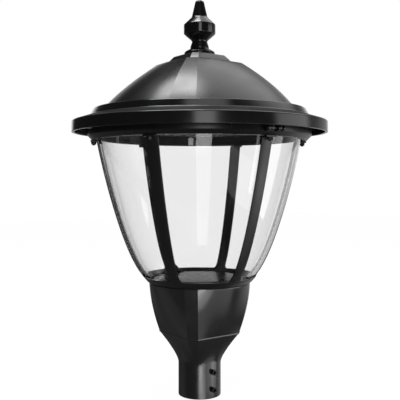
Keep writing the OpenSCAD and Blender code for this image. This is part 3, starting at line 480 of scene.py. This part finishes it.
def emitters(material, pitch, half, offset):
    """Yellow where the larger of |x - nearest grid line| and |y - nearest grid line| is under half."""
    tree = material.node_tree
    away = [maths(tree, "PINGPONG", maths(tree, "ADD", across, offset), pitch / 2)
            for across in place_xyz(tree)[:2]]
    inside = maths(tree, "LESS_THAN", maths(tree, "MAXIMUM", *away), half)
    mix = tree.nodes.new("ShaderNodeMix")
    mix.data_type = "RGBA"
    factor, mask, yellow = mix.inputs[0], mix.inputs[6], mix.inputs[7]
    mask.default_value, yellow.default_value = (0.42, 0.42, 0.39, 1), (0.62, 0.36, 0.04, 1)
    tree.links.new(inside, factor)
    tree.links.new(mix.outputs[2], tree.nodes["Principled BSDF"].inputs["Base Color"])


# the emitters nearest a board's centre are half a pitch from it, and ten whole pitches keep the sum positive
emitters(board_mask, PITCH * MM, EMITTER_HALF * MM, (10 * PITCH - BOARD_AT - PITCH / 2) * MM)
print("emitter pattern on", board_mask.name)

# %% [markdown]
# ## Roof casting
# The roof is one casting, about 5 mm thick: an upright rim, a shallow slope, a shoulder, and a dome with four cut
# corners. Its outline is written once, up the outside and down the inside, with the swell as a third number in each
# row. A lathe couldn't make the dome, and lofting separate pieces would leave seams, so one grid carries the whole
# wall.

# %% Roof shell
TOP_SWELL, SWELL_POWER = 0.03, 0.32
PULL_R, PULL_Z = 0.359, 0.527        # where the dome's curve is pulled to, as shares of its width and its height


def bend3(a, b, c, t):
    """Quadratic curve through a and c, pulled towards b."""
    return (1 - t) ** 2 * a + 2 * t * (1 - t) * b + t ** 2 * c


def dome_rows(depth, drop, t):
    """Rows (corner radius, height, swell) up the dome, set in by depth and lowered by drop at the top. Its faces stay
    round for most of the height, because the swell falls with (1 - t) to a small power."""
    middle_r, middle_z = DOME_R - (DOME_R - DOME_TOP_R) * PULL_R, DOME_Z + (DOME_TOP - DOME_Z) * PULL_Z
    z = bend3(DOME_Z, middle_z, DOME_TOP, t)
    z = DOME_Z + (z - DOME_Z) * (DOME_TOP - DOME_Z - drop) / (DOME_TOP - DOME_Z)
    swell = TOP_SWELL + (1 - TOP_SWELL) * (1 - t) ** SWELL_POWER
    return np.stack([bend3(DOME_R, middle_r, DOME_TOP_R, t) - depth, z, swell], -1)


def closer_to_top(count):
    """Steps from 0 to 1 that get shorter towards 1, where the swell changes fastest."""
    return 1 - (1 - np.linspace(0, 1, count)) ** 1.5


def rows(*points):
    """Rows (radius, height) that are round, with no corner facets."""
    return np.array([[*p, ROUND] for p in points])


def rounded(parts):
    """One outline from (rows, rounding radius) pairs, with its corners softened."""
    radii = np.concatenate([np.full(len(p), r) for p, r in parts])
    return soften(np.concatenate([p for p, _ in parts]), radii)


rim_in = RIM_R - RIM_WALL
flat_top = np.array([[62, DOME_TOP, TOP_SWELL], [30, DOME_TOP, 0.8], [STUD_HOLE_R, DOME_TOP, ROUND]])
outline = rounded([
    (rows((rim_in, RIM_Z), (RIM_R, RIM_Z)), 0.9),
    (rows((RIM_R, RIM_TOP)), 2.6),
    (rows((SLOPE_R, SLOPE_TOP)), 2.0),
    (rows((SHOULDER_R, DOME_Z)), 2.2),
    (rows((DOME_R + 3, DOME_Z), (DOME_R + 0.6, DOME_Z)), 0.3),
    (dome_rows(0, 0, closer_to_top(44))[:-1], 0.0),
    (dome_rows(0, 0, np.array([1.0])), 1.6),
    (flat_top, 0.0),
    (flat_top[::-1] - [0, TOP_WALL, 0], 0.0),
    (dome_rows(DOME_WALL, TOP_WALL, closer_to_top(18)[::-1]), 0.0),
    (rows((DOME_R - DOME_WALL, DOME_Z - 3.0)), 0.0),
    (rows((DOME_R, DOME_Z - 5), (SHOULDER_R - 2.9, DOME_Z - 5), (SLOPE_R - 3.4, SLOPE_TOP - 4.2)), 2.0),
    (rows((rim_in - 3.5, RIM_TOP - 2.4), (rim_in, RIM_TOP - 5.6)), 1.5),
])
roof_shell = skin("roof_shell", cast_grid(outline), rows_close=True, crease=45, sharp=corner_lines(outline))
print("roof shell:", len(roof_shell.data.polygons), "faces")

# %% [markdown]
# The roof casting also has parts that show when it is open: a round collar that presses on the seal, six lugs that
# carry the light plate, two hinge ears and the boss that takes the latch screw.

# %% Roof fittings
def copies(grid, angles):
    """The same grid turned about the lantern's axis by each angle."""
    turns = ((math.cos(angle), math.sin(angle)) for angle in angles)
    return [grid @ np.array([[c, s, 0], [-s, c, 0], [0, 0, 1]]) for c, s in turns]


def joined(name, pieces):
    """Several closed skins kept as one mesh."""
    bpy.ops.object.select_all(action="DESELECT")
    for piece in pieces:
        piece.select_set(True)
    bpy.context.view_layer.objects.active = pieces[0]
    bpy.ops.object.join()
    pieces[0].name = pieces[0].data.name = name
    return pieces[0]


def extruded(outline, x0, x1):
    """An outline (y, z) carried along X, with the edges of its two ends cut back by 0.4 mm."""
    centre, cut = outline.mean(0), 0.4
    inward = 1 - cut / np.linalg.norm(outline - centre, axis=1, keepdims=True)
    grid = []
    for x, shrink in ((x0, True), (x0 + cut, False), (x1 - cut, False), (x1, True)):
        yz = centre + (outline - centre) * (inward if shrink else 1)
        grid.append(np.column_stack([np.full(len(yz), x), yz]))
    return np.array(grid), (x0, *centre), (x1, *centre)


def tube(r, outer_r, z, top, rounding, columns=144):
    """A round tube about the origin's axis."""
    return turned(soften([[r, z], [outer_r, z], [outer_r, top], [r, top]], rounding), columns)


def capped(name, grid, crease=40):
    """A skin whose first and last rows are closed by flat fans."""
    return skin(name, grid, first_pole=grid[0].mean(0), last_pole=grid[-1].mean(0), crease=crease)


HINGE_Y, HINGE_Z, HINGE_R, LATCH_Y = -240.9, 550.5, 6, 242.9
COLLAR_IN, COLLAR_R, LUG_AT, LUG_Z, LUG_TOP = 221.9, 227.9, 214, 563.5, 583.5
SIXTHS = np.arange(6) * math.pi / 3
collar = tube(COLLAR_IN, COLLAR_R, 559.2, 593, 0.6)
lug = tube(1.8, 6, LUG_Z, LUG_TOP, 0.5, 24) + [LUG_AT, 0, 0]
web = np.array([[[LUG_AT, -3, z], [223, -3, z], [223, 3, z], [LUG_AT, 3, z]] for z in (LUG_Z + 0.1, LUG_TOP - 0.1)])
fittings = [skin("collar", collar, rows_close=True)]
fittings += [skin("lug", g, rows_close=True) for g in copies(lug, SIXTHS)]
fittings += [capped("web", g) for g in copies(web, SIXTHS)]
around = np.radians(np.linspace(180, 360, 17))
ear = np.column_stack([HINGE_Y + HINGE_R * np.cos(around), HINGE_Z + HINGE_R * np.sin(around)])
ear = np.concatenate([ear, [[HINGE_Y + 4.5, 563], [HINGE_Y + 4, 581], [HINGE_Y - 4, 581], [HINGE_Y - 4.5, 563]]])
for x0, x1 in ((-16, -8.7), (5.6, 9.6)):
    grid, first, last = extruded(ear[::-1], x0, x1)
    fittings.append(skin("ear", grid, first_pole=first, last_pole=last))
    drill(fittings[-1], 0, [((x0 + x1) / 2, HINGE_Y, HINGE_Z)], PIN_R + RUNNING_GAP, 10)
boss = turned(soften([[3.4, 557.6], [8, 557.6], [8.2, 580.7], [3.4, 567.8]], 0.5), 32) + [0, LATCH_Y, 0]
fittings.append(skin("boss", boss, rows_close=True))
roof_fittings = joined("roof_fittings", fittings)
print("roof fittings:", len(roof_fittings.data.polygons), "faces")

# %% [markdown]
# ## Cap and finial
# A low cap with four cut corners sits on the dome, and a turned finial is clamped on it by a stud. The cap uses the
# castings' section, with no swell on its outside, and the finial is a plain turning: its outline goes once round the
# axis, and a blind hole takes the stud.

# %% Cap
CAP_WALL = 5
cap_outline = soften([[66.2, DOME_TOP, 0], [73.2, DOME_TOP, 0], [54.0, CAP_TOP, 0], [30.0, CAP_TOP, 0.6],
                      [STUD_HOLE_R, CAP_TOP, ROUND], [STUD_HOLE_R, CAP_TOP - CAP_WALL, ROUND],
                      [47.0, CAP_TOP - CAP_WALL, 0.0]],
                     [0.5, 0.6, 1.6, 0, 0.4, 0.4, 1])
roof_cap = skin("cap", cast_grid(cap_outline), rows_close=True, crease=25)
print("cap:", len(roof_cap.data.polygons), "faces")

# %% Finial
STUD_R, BLIND_H, FINIAL_H = 6.05, 35.5, 120
finial_rows = np.array([             # radius, height above the cap, and the radius that rounds the corner
    [STUD_R, 0, 0.2], [26, 0, 0.5], [26, 3.7, 0.8], [33, 3.7, 1.2], [32.4, 8.4, 1.8], [28.4, 11.1, 2], [21, 14.8, 2],
    [20, 16.5, 1], [19.9, 19.8, 2], [17, 28.4, 1.5], [16.3, 30.4, 1.2], [17.1, 33, 1.5], [20, 36.2, 2.5],
    [26, 41, 3], [33.9, 48, 1.6], [33.9, 67, 1.6], [18, 82, 1.5], [16.8, 84, 1.2], [10.3, 111.8, 1.5],
    [9.8, 114.8, 1.5], [8.3, 117.6, 1.5], [4.3, 119.6, 1.5], [1.0, FINIAL_H, 0.3]])
turning = soften(finial_rows[:, :2], finial_rows[:, 2], closed=False)
grid = turned(np.concatenate([[[STUD_R, BLIND_H]], turning]) + [0, CAP_TOP], 96)
finial_piece = skin("turned_finial", grid, first_pole=(0, 0, CAP_TOP + BLIND_H),
                    last_pole=(0, 0, CAP_TOP + FINIAL_H), crease=50)
print("finial:", len(finial_piece.data.polygons), "faces")

# %% [markdown]
# ## Base casting
# The foot is a plain tube that slips over the post. Above it the casting flares to a ledge, square with cut corners,
# and then swells to a circle that carries the cage. Where the flare meets the tube, the surface is simply whichever
# of the two stands further out, with a soft blend between them, as the casting's own fillet gives.

# %% Base body
TUBE_PLAIN, BLEND_END, BLEND_POWER = 58, 75, 24


def flare_rows(u, depth):
    """Rows up the flare, from just inside the tube to the ledge, slow at first and then faster, set in by depth."""
    start = TUBE_R - 0.7
    r = start + (LEDGE_R - start) * u ** 1.36
    return np.stack([r - depth, FLARE_Z + (LEDGE_Z - FLARE_Z) * u, 1 - u ** 0.6], -1)


def body_rows(u, depth):
    """Rows up the body, which swells out quickly above the ledge and slowly at the top, set in by depth."""
    r = BASE_R - (BASE_R - LEDGE_R) * (1 - u) ** 1.75
    return np.stack([r - depth, LEDGE_Z + (BASE_TOP - LEDGE_Z) * u, u], -1)


u = np.linspace(0, 1, 26)
body = body_rows(u[1:], 0)
body_in = body_rows(u[1:], WALL)[::-1]
ledge_bead = np.array([[-0.6, -1.3, 0], [0.8, -1.0, 0], [0.9, 0.9, 0], [0.5, 1.4, 0]]) + [LEDGE_R, LEDGE_Z, 0]
outline = rounded([
    (rows((BORE_R, 0), (TUBE_R, 0)), 0.8),
    (rows((TUBE_R, 20), (TUBE_R, 40), (TUBE_R, TUBE_PLAIN)), 0.0),
    (flare_rows(u, 0)[:-1], 0.0),
    (ledge_bead, 0.8),
    (body[1:-1], 0.0),
    (body[-1:], 1.0),
    (body_in[:1], 0.8),
    (body_in[1:], 0.0),
    (flare_rows(u, FLARE_WALL)[::-1][:18], 0.0),
    (rows((WIRE_R + 8, SHELF_TOP)), 1.0),
    (rows((WIRE_R, SHELF_TOP), (WIRE_R, STOP_Z), (BORE_R, STOP_Z)), 0.6),
])
grid = cast_grid(outline)
reach = np.linalg.norm(grid[..., :2], axis=-1)
# the blend (a^n + b^n)^(1/n) is fuller than the larger radius by a share of it, which is taken off near the tube
extra = TUBE_R * (2 ** (1 / BLEND_POWER) - 1) * np.clip((BLEND_END - reach) / (BLEND_END - TUBE_R), 0, 1)
blended = (reach ** BLEND_POWER + TUBE_R ** BLEND_POWER) ** (1 / BLEND_POWER) - extra
outside = np.arange(len(outline)) < np.argmax(outline[:, 1] >= BASE_TOP - 0.01)
flared = outside[:, None] & (outline[:, 1:2] > TUBE_PLAIN)
grid[..., :2] *= np.where(flared, np.maximum(blended, TUBE_R) / reach, 1)[..., None]
lines = corner_lines(outline) & (reach > TUBE_R + 4)
base_body = skin("base_body", grid, rows_close=True, crease=45, sharp=lines)
drill(base_body, 1, [(0, 0, z) for z in SET_SCREW_Z], SET_SCREW_R + RUNNING_GAP, 60)
print("base body:", len(base_body.data.polygons), "faces")

# %% [markdown]
# ## Cage ring
# The ring under the bowl is a casting too. Its rim is low, and rises into an ear under each strap, with a fillet at
# either side. Its height is a function of the direction, so the grid's rows just stretch where an ear rises.

# %% Cage ring
EAR_AT, EAR_HALF, EAR_FILLET = 124.0, 11, 8
EAR_END = EAR_HALF + EAR_FILLET


def ear_height(x):
    """Rim height at a sideways distance x from a strap's middle: the ear's flat top, then a quarter circle."""
    x = np.abs(x)
    away = EAR_END - np.clip(x, EAR_HALF, EAR_END)
    curve = LIP_H + EAR_FILLET - np.sqrt(np.clip(EAR_FILLET ** 2 - away ** 2, 0, None))
    return np.where(x < EAR_HALF + 0.05, EAR_H, np.where(x < EAR_END, curve, LIP_H))


half = np.array([0, 4, 8, 10.4, 11, 11.12, 11.6, 12.4, 13.4, 14.6, 16, 17.5, EAR_END])
half = np.degrees(np.arcsin(half / EAR_AT))
half = np.concatenate([half, np.linspace(half[-1], 30, 8)[1:-1]])
sector = np.radians(np.concatenate([-half[:0:-1], half, [30]]) + 30)
angles = (sector[None] + SIXTHS[:, None]).ravel()
rim = ear_height(EAR_AT * np.sin(angles % (math.pi / 3) - math.pi / 6))[None]
share = np.linspace(0, 1, 9)[:, None]
top, edge = rim - 0.6, 0.6
outer_h = share[1:] * top
inner_h = FLOOR_H + share[::-1][:-1] * (top - FLOOR_H)
level = np.ones((1, len(angles)))
ring_rows = [                        # radius and height of each row or group of rows, up the outside and down inside
    (FLOOR_R * level, 0 * level), ((cage_r(0) - edge) * level, 0 * level), (cage_r(0) * level, edge * level),
    (cage_r(outer_h), np.maximum(outer_h, edge + 0.1)), (cage_r(top) - 0.1, rim),
    (inset_r(top, STRAP_T) + 0.1, rim), (inset_r(inner_h, STRAP_T), inner_h),
    (inset_r(FLOOR_H, STRAP_T) * level, FLOOR_H * level), (FLOOR_R * level, FLOOR_H * level)]
r, h = (np.concatenate(group) for group in zip(*ring_rows))
grid = np.stack([r * np.cos(angles), r * np.sin(angles), h + CAGE_Z], -1)
cage_casting = skin("cage_casting", grid, rows_close=True, crease=50)
print("cage ring:", len(cage_casting.data.polygons), "faces")

# %% [markdown]
# ## Straps
# A strap is a flat bar, bent to the bowl's curve, with its head turned out under the frame ring. Its section, a
# rectangle with rounded corners, is carried along the curve. The bar narrows towards its foot.

# %% Straps
FOOT_W, HEAD_W, HEAD_H, STRAP_EDGE, EDGE_MIDDLE = 22, 25.4, 299, 0.6, 0.18


def strap_grid():
    """The section (across y, through n) at each point of the middle line: p + through n + across y. The normal n is
    square to the line, and the line ends in a bend to a level tab."""
    h = np.linspace(EAR_H, RING_Z - CAGE_Z - 7, 44)
    line = np.column_stack([inset_r(h, STRAP_T / 2), h])
    tab_h, tab_r = RING_Z - CAGE_Z - STRAP_T / 2, cage_r(RING_Z - CAGE_Z) + 12
    knee = np.array([inset_r(tab_h, STRAP_T / 2), tab_h])
    bend = bend3(line[-1], knee, knee + [5.4, 0], np.linspace(0, 1, 9)[1:, None])
    line = np.concatenate([line, bend, [[tab_r - 6, tab_h], [tab_r, tab_h]]])
    along = np.gradient(line, axis=0)
    along /= np.linalg.norm(along, axis=1, keepdims=True)
    normal = np.column_stack([along[:, 1], -along[:, 0]])
    width = FOOT_W + (HEAD_W - FOOT_W) * np.clip(line[:, 1] / HEAD_H, 0, 1)
    across = np.repeat([-1.0, 1.0, -1.0], [3, 6, 3])
    through = np.repeat([1.0, -1.0], 6)
    inset_a = np.tile([0, EDGE_MIDDLE, STRAP_EDGE, STRAP_EDGE, EDGE_MIDDLE, 0], 2)
    inset_t = np.tile([STRAP_EDGE, EDGE_MIDDLE, 0, 0, EDGE_MIDDLE, STRAP_EDGE], 2)
    y = across[None] * (width[:, None] / 2 - inset_a[None])
    n = (through * (STRAP_T / 2 - inset_t))[None]
    r = line[:, :1] + normal[:, :1] * n
    z = line[:, 1:] + normal[:, 1:] * n + CAGE_Z
    return np.stack([r, np.broadcast_to(y, r.shape), z], -1)


turns = np.radians(60 * np.arange(1, 7) - 150)
straps = [capped(f"flat_strap_{number}", g, crease=50)
          for number, g in enumerate(copies(strap_grid()[:, ::-1], turns), 1)]
print("straps:", len(straps), "of", len(straps[0].data.polygons), "faces")

# %% [markdown]
# ## Bowl
# The bowl is turned from the same curve: up its outside, over a rounded rim, and down its inside, 4.5 mm away.

# %% Bowl
h = np.linspace(5.5, RING_Z + 9.5 - CAGE_Z, 70)
outside = np.column_stack([inset_r(h, STRAP_T + BOWL_GAP), h + CAGE_Z])
inside = np.column_stack([inset_r(h, STRAP_T + BOWL_GAP + BOWL_T), h + CAGE_Z])[::-1]
radii = np.zeros(len(outside))
radii[[0, -1]] = 1.2
outline = soften(np.concatenate([outside, inside]), np.tile(radii, 2))
clear_bowl = skin("clear_bowl", turned(outline, 180), rows_close=True, crease=60)
print("bowl:", len(clear_bowl.data.polygons), "faces")

# %% [markdown]
# ## Cover plate
# The floor of the bowl is a pressed disc, painted black like the castings. Its middle stands up a little and falls to
# a flat rim, where its screws are. The press leaves a round dip for the grommet, so that the lead comes through
# level.

# %% Cover plate
LEAD_Y, DIP_R, DIP_SLOPE = 78.0, 8.2, 6
PLATE_R, PLATE_T, PLATE_EDGE, CROWN = 100.0, 2.5, 0.6, 4.5
floor = CAGE_Z + FLOOR_H
profile_r = [0.5, 40, 60, 72, 80, 84, 86.5, 88.5, 90.5, 99.4]
profile_up = [CROWN, 4.4, 4.25, 4.1, 3.9, 3.4, 2.4, 1.2, 0.2, 0.0]
r = np.concatenate([[0.5, 20, 40, 54], np.linspace(60, 91, 17), [95, 99.4]])
crowned = np.column_stack([np.append(r, PLATE_R), np.append(np.interp(r, profile_r, profile_up), 0.0)])


def pressed(outline, level):
    """Rings at z = level + rise * s, where s = t^2 (3 - 2t) and t goes from 0 to 1 across the dip's slope."""
    grid = turned(outline, 180)
    t = np.clip((np.hypot(grid[..., 0], grid[..., 1] - LEAD_Y) - DIP_R) / DIP_SLOPE, 0, 1)
    grid[..., 2] = level + grid[..., 2] * t ** 2 * (3 - 2 * t)
    return grid


lower, upper = pressed(crowned, floor), pressed(crowned[::-1], floor + PLATE_T)
lower[-1, :, 2] += PLATE_EDGE
upper[0, :, 2] -= PLATE_EDGE
cover_plate = skin("cover_plate", np.concatenate([lower, upper]), first_pole=(0, 0, floor + CROWN),
                   last_pole=(0, 0, floor + PLATE_T + CROWN), crease=50)
print("cover plate:", len(cover_plate.data.polygons), "faces")

# %% [markdown]
# ## Lens sheets
# Each board is covered by one moulded sheet with sixteen low domes. The lower face is a height over a square: flat,
# minus the nearest dome, a part of a sphere. The sheet is wrapped as a flat tube, so that it is closed.

# %% Lens sheets
def lens_grid(centre, side=94.0, top=558.4, sheet=2.4, lens=8.5, height=3.5, count=109):
    """Lower face z = top - sheet - max(0, sqrt(R^2 - d^2) - R + height), with d the distance to the nearest lens."""
    def near(q):
        """The distance to the nearest of four lens rows."""
        return q - PITCH * (np.clip(np.round(q / PITCH - 0.5), -2, 1) + 0.5)

    s = np.linspace(-side / 2, side / 2, count)
    x, y = np.meshgrid(s, s)
    d2 = near(x) ** 2 + near(y) ** 2
    ball = (lens ** 2 + height ** 2) / (2 * height)
    dome = np.maximum(np.sqrt(np.maximum(ball ** 2 - d2, 0)) - ball + height, 0)
    low = np.stack([x, y, top - sheet - dome], -1)
    level = np.full(count, top)
    edge = np.stack([np.stack([np.full(count, e), s, level], -1) for e in (side / 2, -side / 2)], 1)
    return np.concatenate([low, edge], 1)[::-1] + np.array([*centre, 0])


sheets = []
for number in range(1, 5):
    a = QUARTER * number
    centre = (BOARD_AT * (math.cos(a) - math.sin(a)), BOARD_AT * (math.sin(a) + math.cos(a)))
    sheets.append(capped(f"optic_sheet_{number}", lens_grid(centre), crease=30))
print("lens sheets:", len(sheets))

# %% [markdown]
# ## Putting it together
# Each new surface rides on the body that carries it, stands for its CAD piece, and takes a finish. The remaining
# CAD pieces keep their exact shape and only get a finish.

# %% New pieces
def place(piece, body, stands_for, slot, material):
    """Rides on a body, replaces CAD pieces and takes a finish."""
    piece.data.materials.clear()
    piece.data.materials.append(material)
    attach(piece, body)
    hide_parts(*stands_for)


place(roof_shell, "roof", ["roof_casting"], "painted_castings", roof_coat)
place(roof_fittings, "roof", ["roof_casting"], "painted_castings", cast_coat)
place(roof_cap, "roof", ["roof_cap"], "painted_castings", cast_coat)
place(finial_piece, "roof", ["finial"], "painted_castings", finial_coat)
place(base_body, "lantern_base", ["base_casting"], "painted_castings", base_coat)
place(cage_casting, "lantern_base", ["cage_ring"], "painted_castings", cast_coat)
place(clear_bowl, "lantern_base", ["bowl"], "clear_acrylic", acrylic)
place(cover_plate, "lantern_base", ["base_cover"], "painted_plate", sheet_coat)
for number, strap in enumerate(straps, 1):
    place(strap, "lantern_base", [f"cage_strap_{number}"], "painted_straps", bar_coat)
for number, sheet in enumerate(sheets, 1):
    place(sheet, "roof", [f"lens_sheet_{number}"], "lenses", optic)
print("new pieces placed")

# %% Finishes of the CAD pieces
finish_of_slot = {
    "painted_castings": cast_coat, "painted_straps": bar_coat, "painted_plate": sheet_coat,
    "dark_fasteners": oxide_steel, "bright_fasteners": plain_steel, "bare_aluminium": raw_aluminium,
    "clear_acrylic": acrylic, "seals": sponge_rubber, "led_boards": board_mask, "lenses": optic,
    "terminal_plastic": ivory_plastic, "surge_case": red_case, "driver_case": driver_paint,
    "ground_green": green_paint, "black_plastic": moulded_black, "black_lead": black_sheath, "red_lead": red_sheath,
}
for part in frame["record"]["subparts"]:
    node = nodes[part["node"]]
    node.data.materials.clear()
    node.data.materials.append(finish_of_slot[part["material_slot"]])

# %% [markdown]
# ## Floor and background
# The lantern stands on a pale floor that runs into a white background. What the camera sees of the floor, directly or
# through the bowl, is mostly its own white, with a trace of the lantern's shadow. Mirrored rays and shadow rays pass
# through it, so that lamps below it can be mirrored and can light the object.

# %% Floor
FLOOR_HALF, FLOOR_LEVEL, OWN_WHITE, OWN_SHARE = 6.0, -0.001, 1.08, 0.9
corners = [(x * FLOOR_HALF, y * FLOOR_HALF, FLOOR_LEVEL) for x, y in ((-1, -1), (1, -1), (1, 1), (-1, 1))]
floor_mesh = bpy.data.meshes.new("pale_floor")
floor_mesh.from_pydata(corners, [], [(0, 1, 2, 3)])
floor_piece = bpy.data.objects.new("pale_floor", floor_mesh)
bpy.context.scene.collection.objects.link(floor_piece)
floor_paint = finish("pale_floor_paint", (0.92, 0.92, 0.92), 0.9)
tree = floor_paint.node_tree
seen = tree.nodes.new("ShaderNodeLightPath").outputs


def mixed(share, one, other):
    """A shader that goes from one to the other as the share goes from 0 to 1."""
    mix = tree.nodes.new("ShaderNodeMixShader")
    for k, socket in enumerate((share, one, other)):
        tree.links.new(socket, mix.inputs[k])
    return mix.outputs[0]


glow = add(floor_paint, "ShaderNodeEmission", Strength=OWN_WHITE)
clear = add(floor_paint, "ShaderNodeBsdfTransparent")
looked_at = maths(tree, "MAXIMUM", seen["Is Camera Ray"], seen["Is Transmission Ray"])
passing = maths(tree, "MAXIMUM", seen["Is Glossy Ray"], seen["Is Shadow Ray"])
painted = tree.nodes["Principled BSDF"].outputs[0]
solid = mixed(maths(tree, "MULTIPLY", looked_at, OWN_SHARE), painted, glow.outputs[0])
tree.links.new(mixed(passing, solid, clear.outputs[0]), tree.nodes["Material Output"].inputs["Surface"])
floor_mesh.materials.append(floor_paint)
print("floor set")

# %% [markdown]
# ## Light
# A black glossy product is lit by what it reflects, so its light is a set of shapes to mirror. The world is white
# where it is seen directly or through the bowl. In a mirror it is a soft patch of sky and a dim backdrop, with three
# bright spots behind the lantern that draw the outlines of the round pieces.

# %% World
world = bpy.data.worlds.new("studio")
bpy.context.scene.world = world
world.use_nodes = True
tree = world.node_tree
background = tree.nodes["Background"]
path = tree.nodes.new("ShaderNodeLightPath").outputs
toward = tree.nodes.new("ShaderNodeTexCoord")


def facing(back, right, up, low, high, weak, strong):
    """How far a direction points to (back, right, up), as the camera sees them, mapped smoothly to a brightness."""
    aim = np.array([-back * math.cos(FACING) - right * math.sin(FACING),
                    -back * math.sin(FACING) + right * math.cos(FACING), up])
    dot = tree.nodes.new("ShaderNodeVectorMath")
    dot.operation = "DOT_PRODUCT"
    dot.inputs[1].default_value = aim / np.linalg.norm(aim)
    tree.links.new(toward.outputs["Generated"], dot.inputs[0])
    span = tree.nodes.new("ShaderNodeMapRange")
    span.interpolation_type = "SMOOTHSTEP"
    for key, value in (("From Min", low), ("From Max", high), ("To Min", weak), ("To Max", strong)):
        span.inputs[key].default_value = value
    tree.links.new(dot.outputs["Value"], span.inputs["Value"])
    return span.outputs["Result"]


def most(*values):
    """The largest of some sockets."""
    largest = values[0]
    for value in values[1:]:
        largest = maths(tree, "MAXIMUM", largest, value)
    return largest


# a straight look passes through the bowl with no mirror and no diffuse surface before it
unscattered = maths(tree, "LESS_THAN", path["Diffuse Depth"], 0.5)
unmirrored = maths(tree, "LESS_THAN", path["Glossy Depth"], 0.5)
straight = maths(tree, "MULTIPLY", unscattered, unmirrored)
direct = most(path["Is Camera Ray"], maths(tree, "MULTIPLY", path["Is Transmission Ray"], straight))
looks = most(facing(0.42, 0.35, 0.86, 0.84, 0.95, 0.03, 1.8),       # a patch of sky
             facing(0.85, 0.5, -0.25, 0.6, 1.0, 0.0, 0.5),          # the dim backdrop, stronger at the right
             facing(1, 0, 0, 0.965, 1.0, 0.0, 1.1),                 # its middle, behind the lantern
             facing(1, -0.28, 0.16, 0.945, 1.0, 0.0, 1.3),          # a bright spot to the left of the middle
             facing(1, 0.28, 0.16, 0.945, 1.0, 0.0, 1.0),           # and one to the right
             facing(0, 0, 1, -0.2, 0.0, 0.09, 0.03))                # a faint lift, stronger from below
in_mirror = maths(tree, "MULTIPLY", maths(tree, "GREATER_THAN", path["Glossy Depth"], 0.5), path["Is Glossy Ray"])
mirrored = maths(tree, "MULTIPLY", in_mirror, looks)
soft = maths(tree, "MULTIPLY", path["Is Diffuse Ray"], 0.2)
strength = most(direct, mirrored, soft)
tree.links.new(strength, background.inputs["Strength"])
background.inputs["Color"].default_value = (1, 1, 1, 1)
print("world set")

# %% [markdown]
# A tall softbox in front, a little to the right of the camera, draws the bright line down the middle, and goes on
# below the floor. The core lamps strengthen that line and light the right of the base from below. They are linked to
# the castings and the straps alone, because the bowl would mirror them as white blocks. Two lamps overhead shape the
# dome, a large one lights the right side, and the left stays almost dark.

# %% Softboxes
def softbox(name, turn, distance, height, size, power, aim=0.45):
    """A rectangular lamp, so many degrees round the axis from the camera towards its right, that faces the axis at
    the height of its aim."""
    data = bpy.data.lights.new(name, "AREA")
    data.shape, data.size, data.size_y = "RECTANGLE", size[0], size[1]
    data.energy = power
    lamp = bpy.data.objects.new(name, data)
    bpy.context.scene.collection.objects.link(lamp)
    a = FACING + math.radians(turn)
    lamp.location = (distance * math.cos(a), distance * math.sin(a), height)
    lamp.rotation_euler = (math.atan2(distance, height - aim), 0, a + math.pi / 2)
    return lamp


softbox("strip", 4.5, 2.6, 0.73, (0.78, 2.3), 17, aim=0.73)
softbox("strip_foot", 4.5, 2.6, -1.36, (0.78, 1.88), 4.6, aim=-1.36)
cores = [softbox("core_high", 5, 2.55, -0.42, (0.90, 0.34), 4.4, aim=-0.42),
         softbox("core_low", 5, 2.55, -1.15, (0.90, 1.1), 4.2, aim=-1.15),
         softbox("core_right", 22, 2.4, -1.1, (0.9, 1.2), 6.5, aim=-0.2),
         softbox("core_shoulder", 30, 2.3, -0.12, (1.3, 0.4), 1.8, aim=0.2),
         softbox("core_wide", 62, 2.2, -0.9, (2.0, 1.6), 5.0, aim=0.1)]
lit_by_cores = bpy.data.collections.new("lit_by_cores")
for piece in (base_body, cage_casting, roof_shell, roof_cap, finial_piece, *straps):
    lit_by_cores.objects.link(piece)
for core in cores:
    core.light_linking.receiver_collection = lit_by_cores
softbox("overhead_left", 255, 0.38, 2.25, (0.60, 0.88), 21.5, aim=0.6)
softbox("overhead_front", 12, 1.0, 2.6, (1.2, 0.8), 4.5, aim=0.6)
softbox("right_side", 83, 2.2, 0.4, (1.5, 2.0), 17)
softbox("right_low", 56, 2.2, -0.5, (1.8, 0.5), 1.6, aim=0.2)
softbox("left_low", -100, 2.0, -0.9, (1.4, 1.0), 0.3, aim=0.2)

# %% [markdown]
# ## Finish
# The view transform is plain, so colours render as written.

# %% Finish
bpy.context.scene.view_settings.view_transform = "Standard"
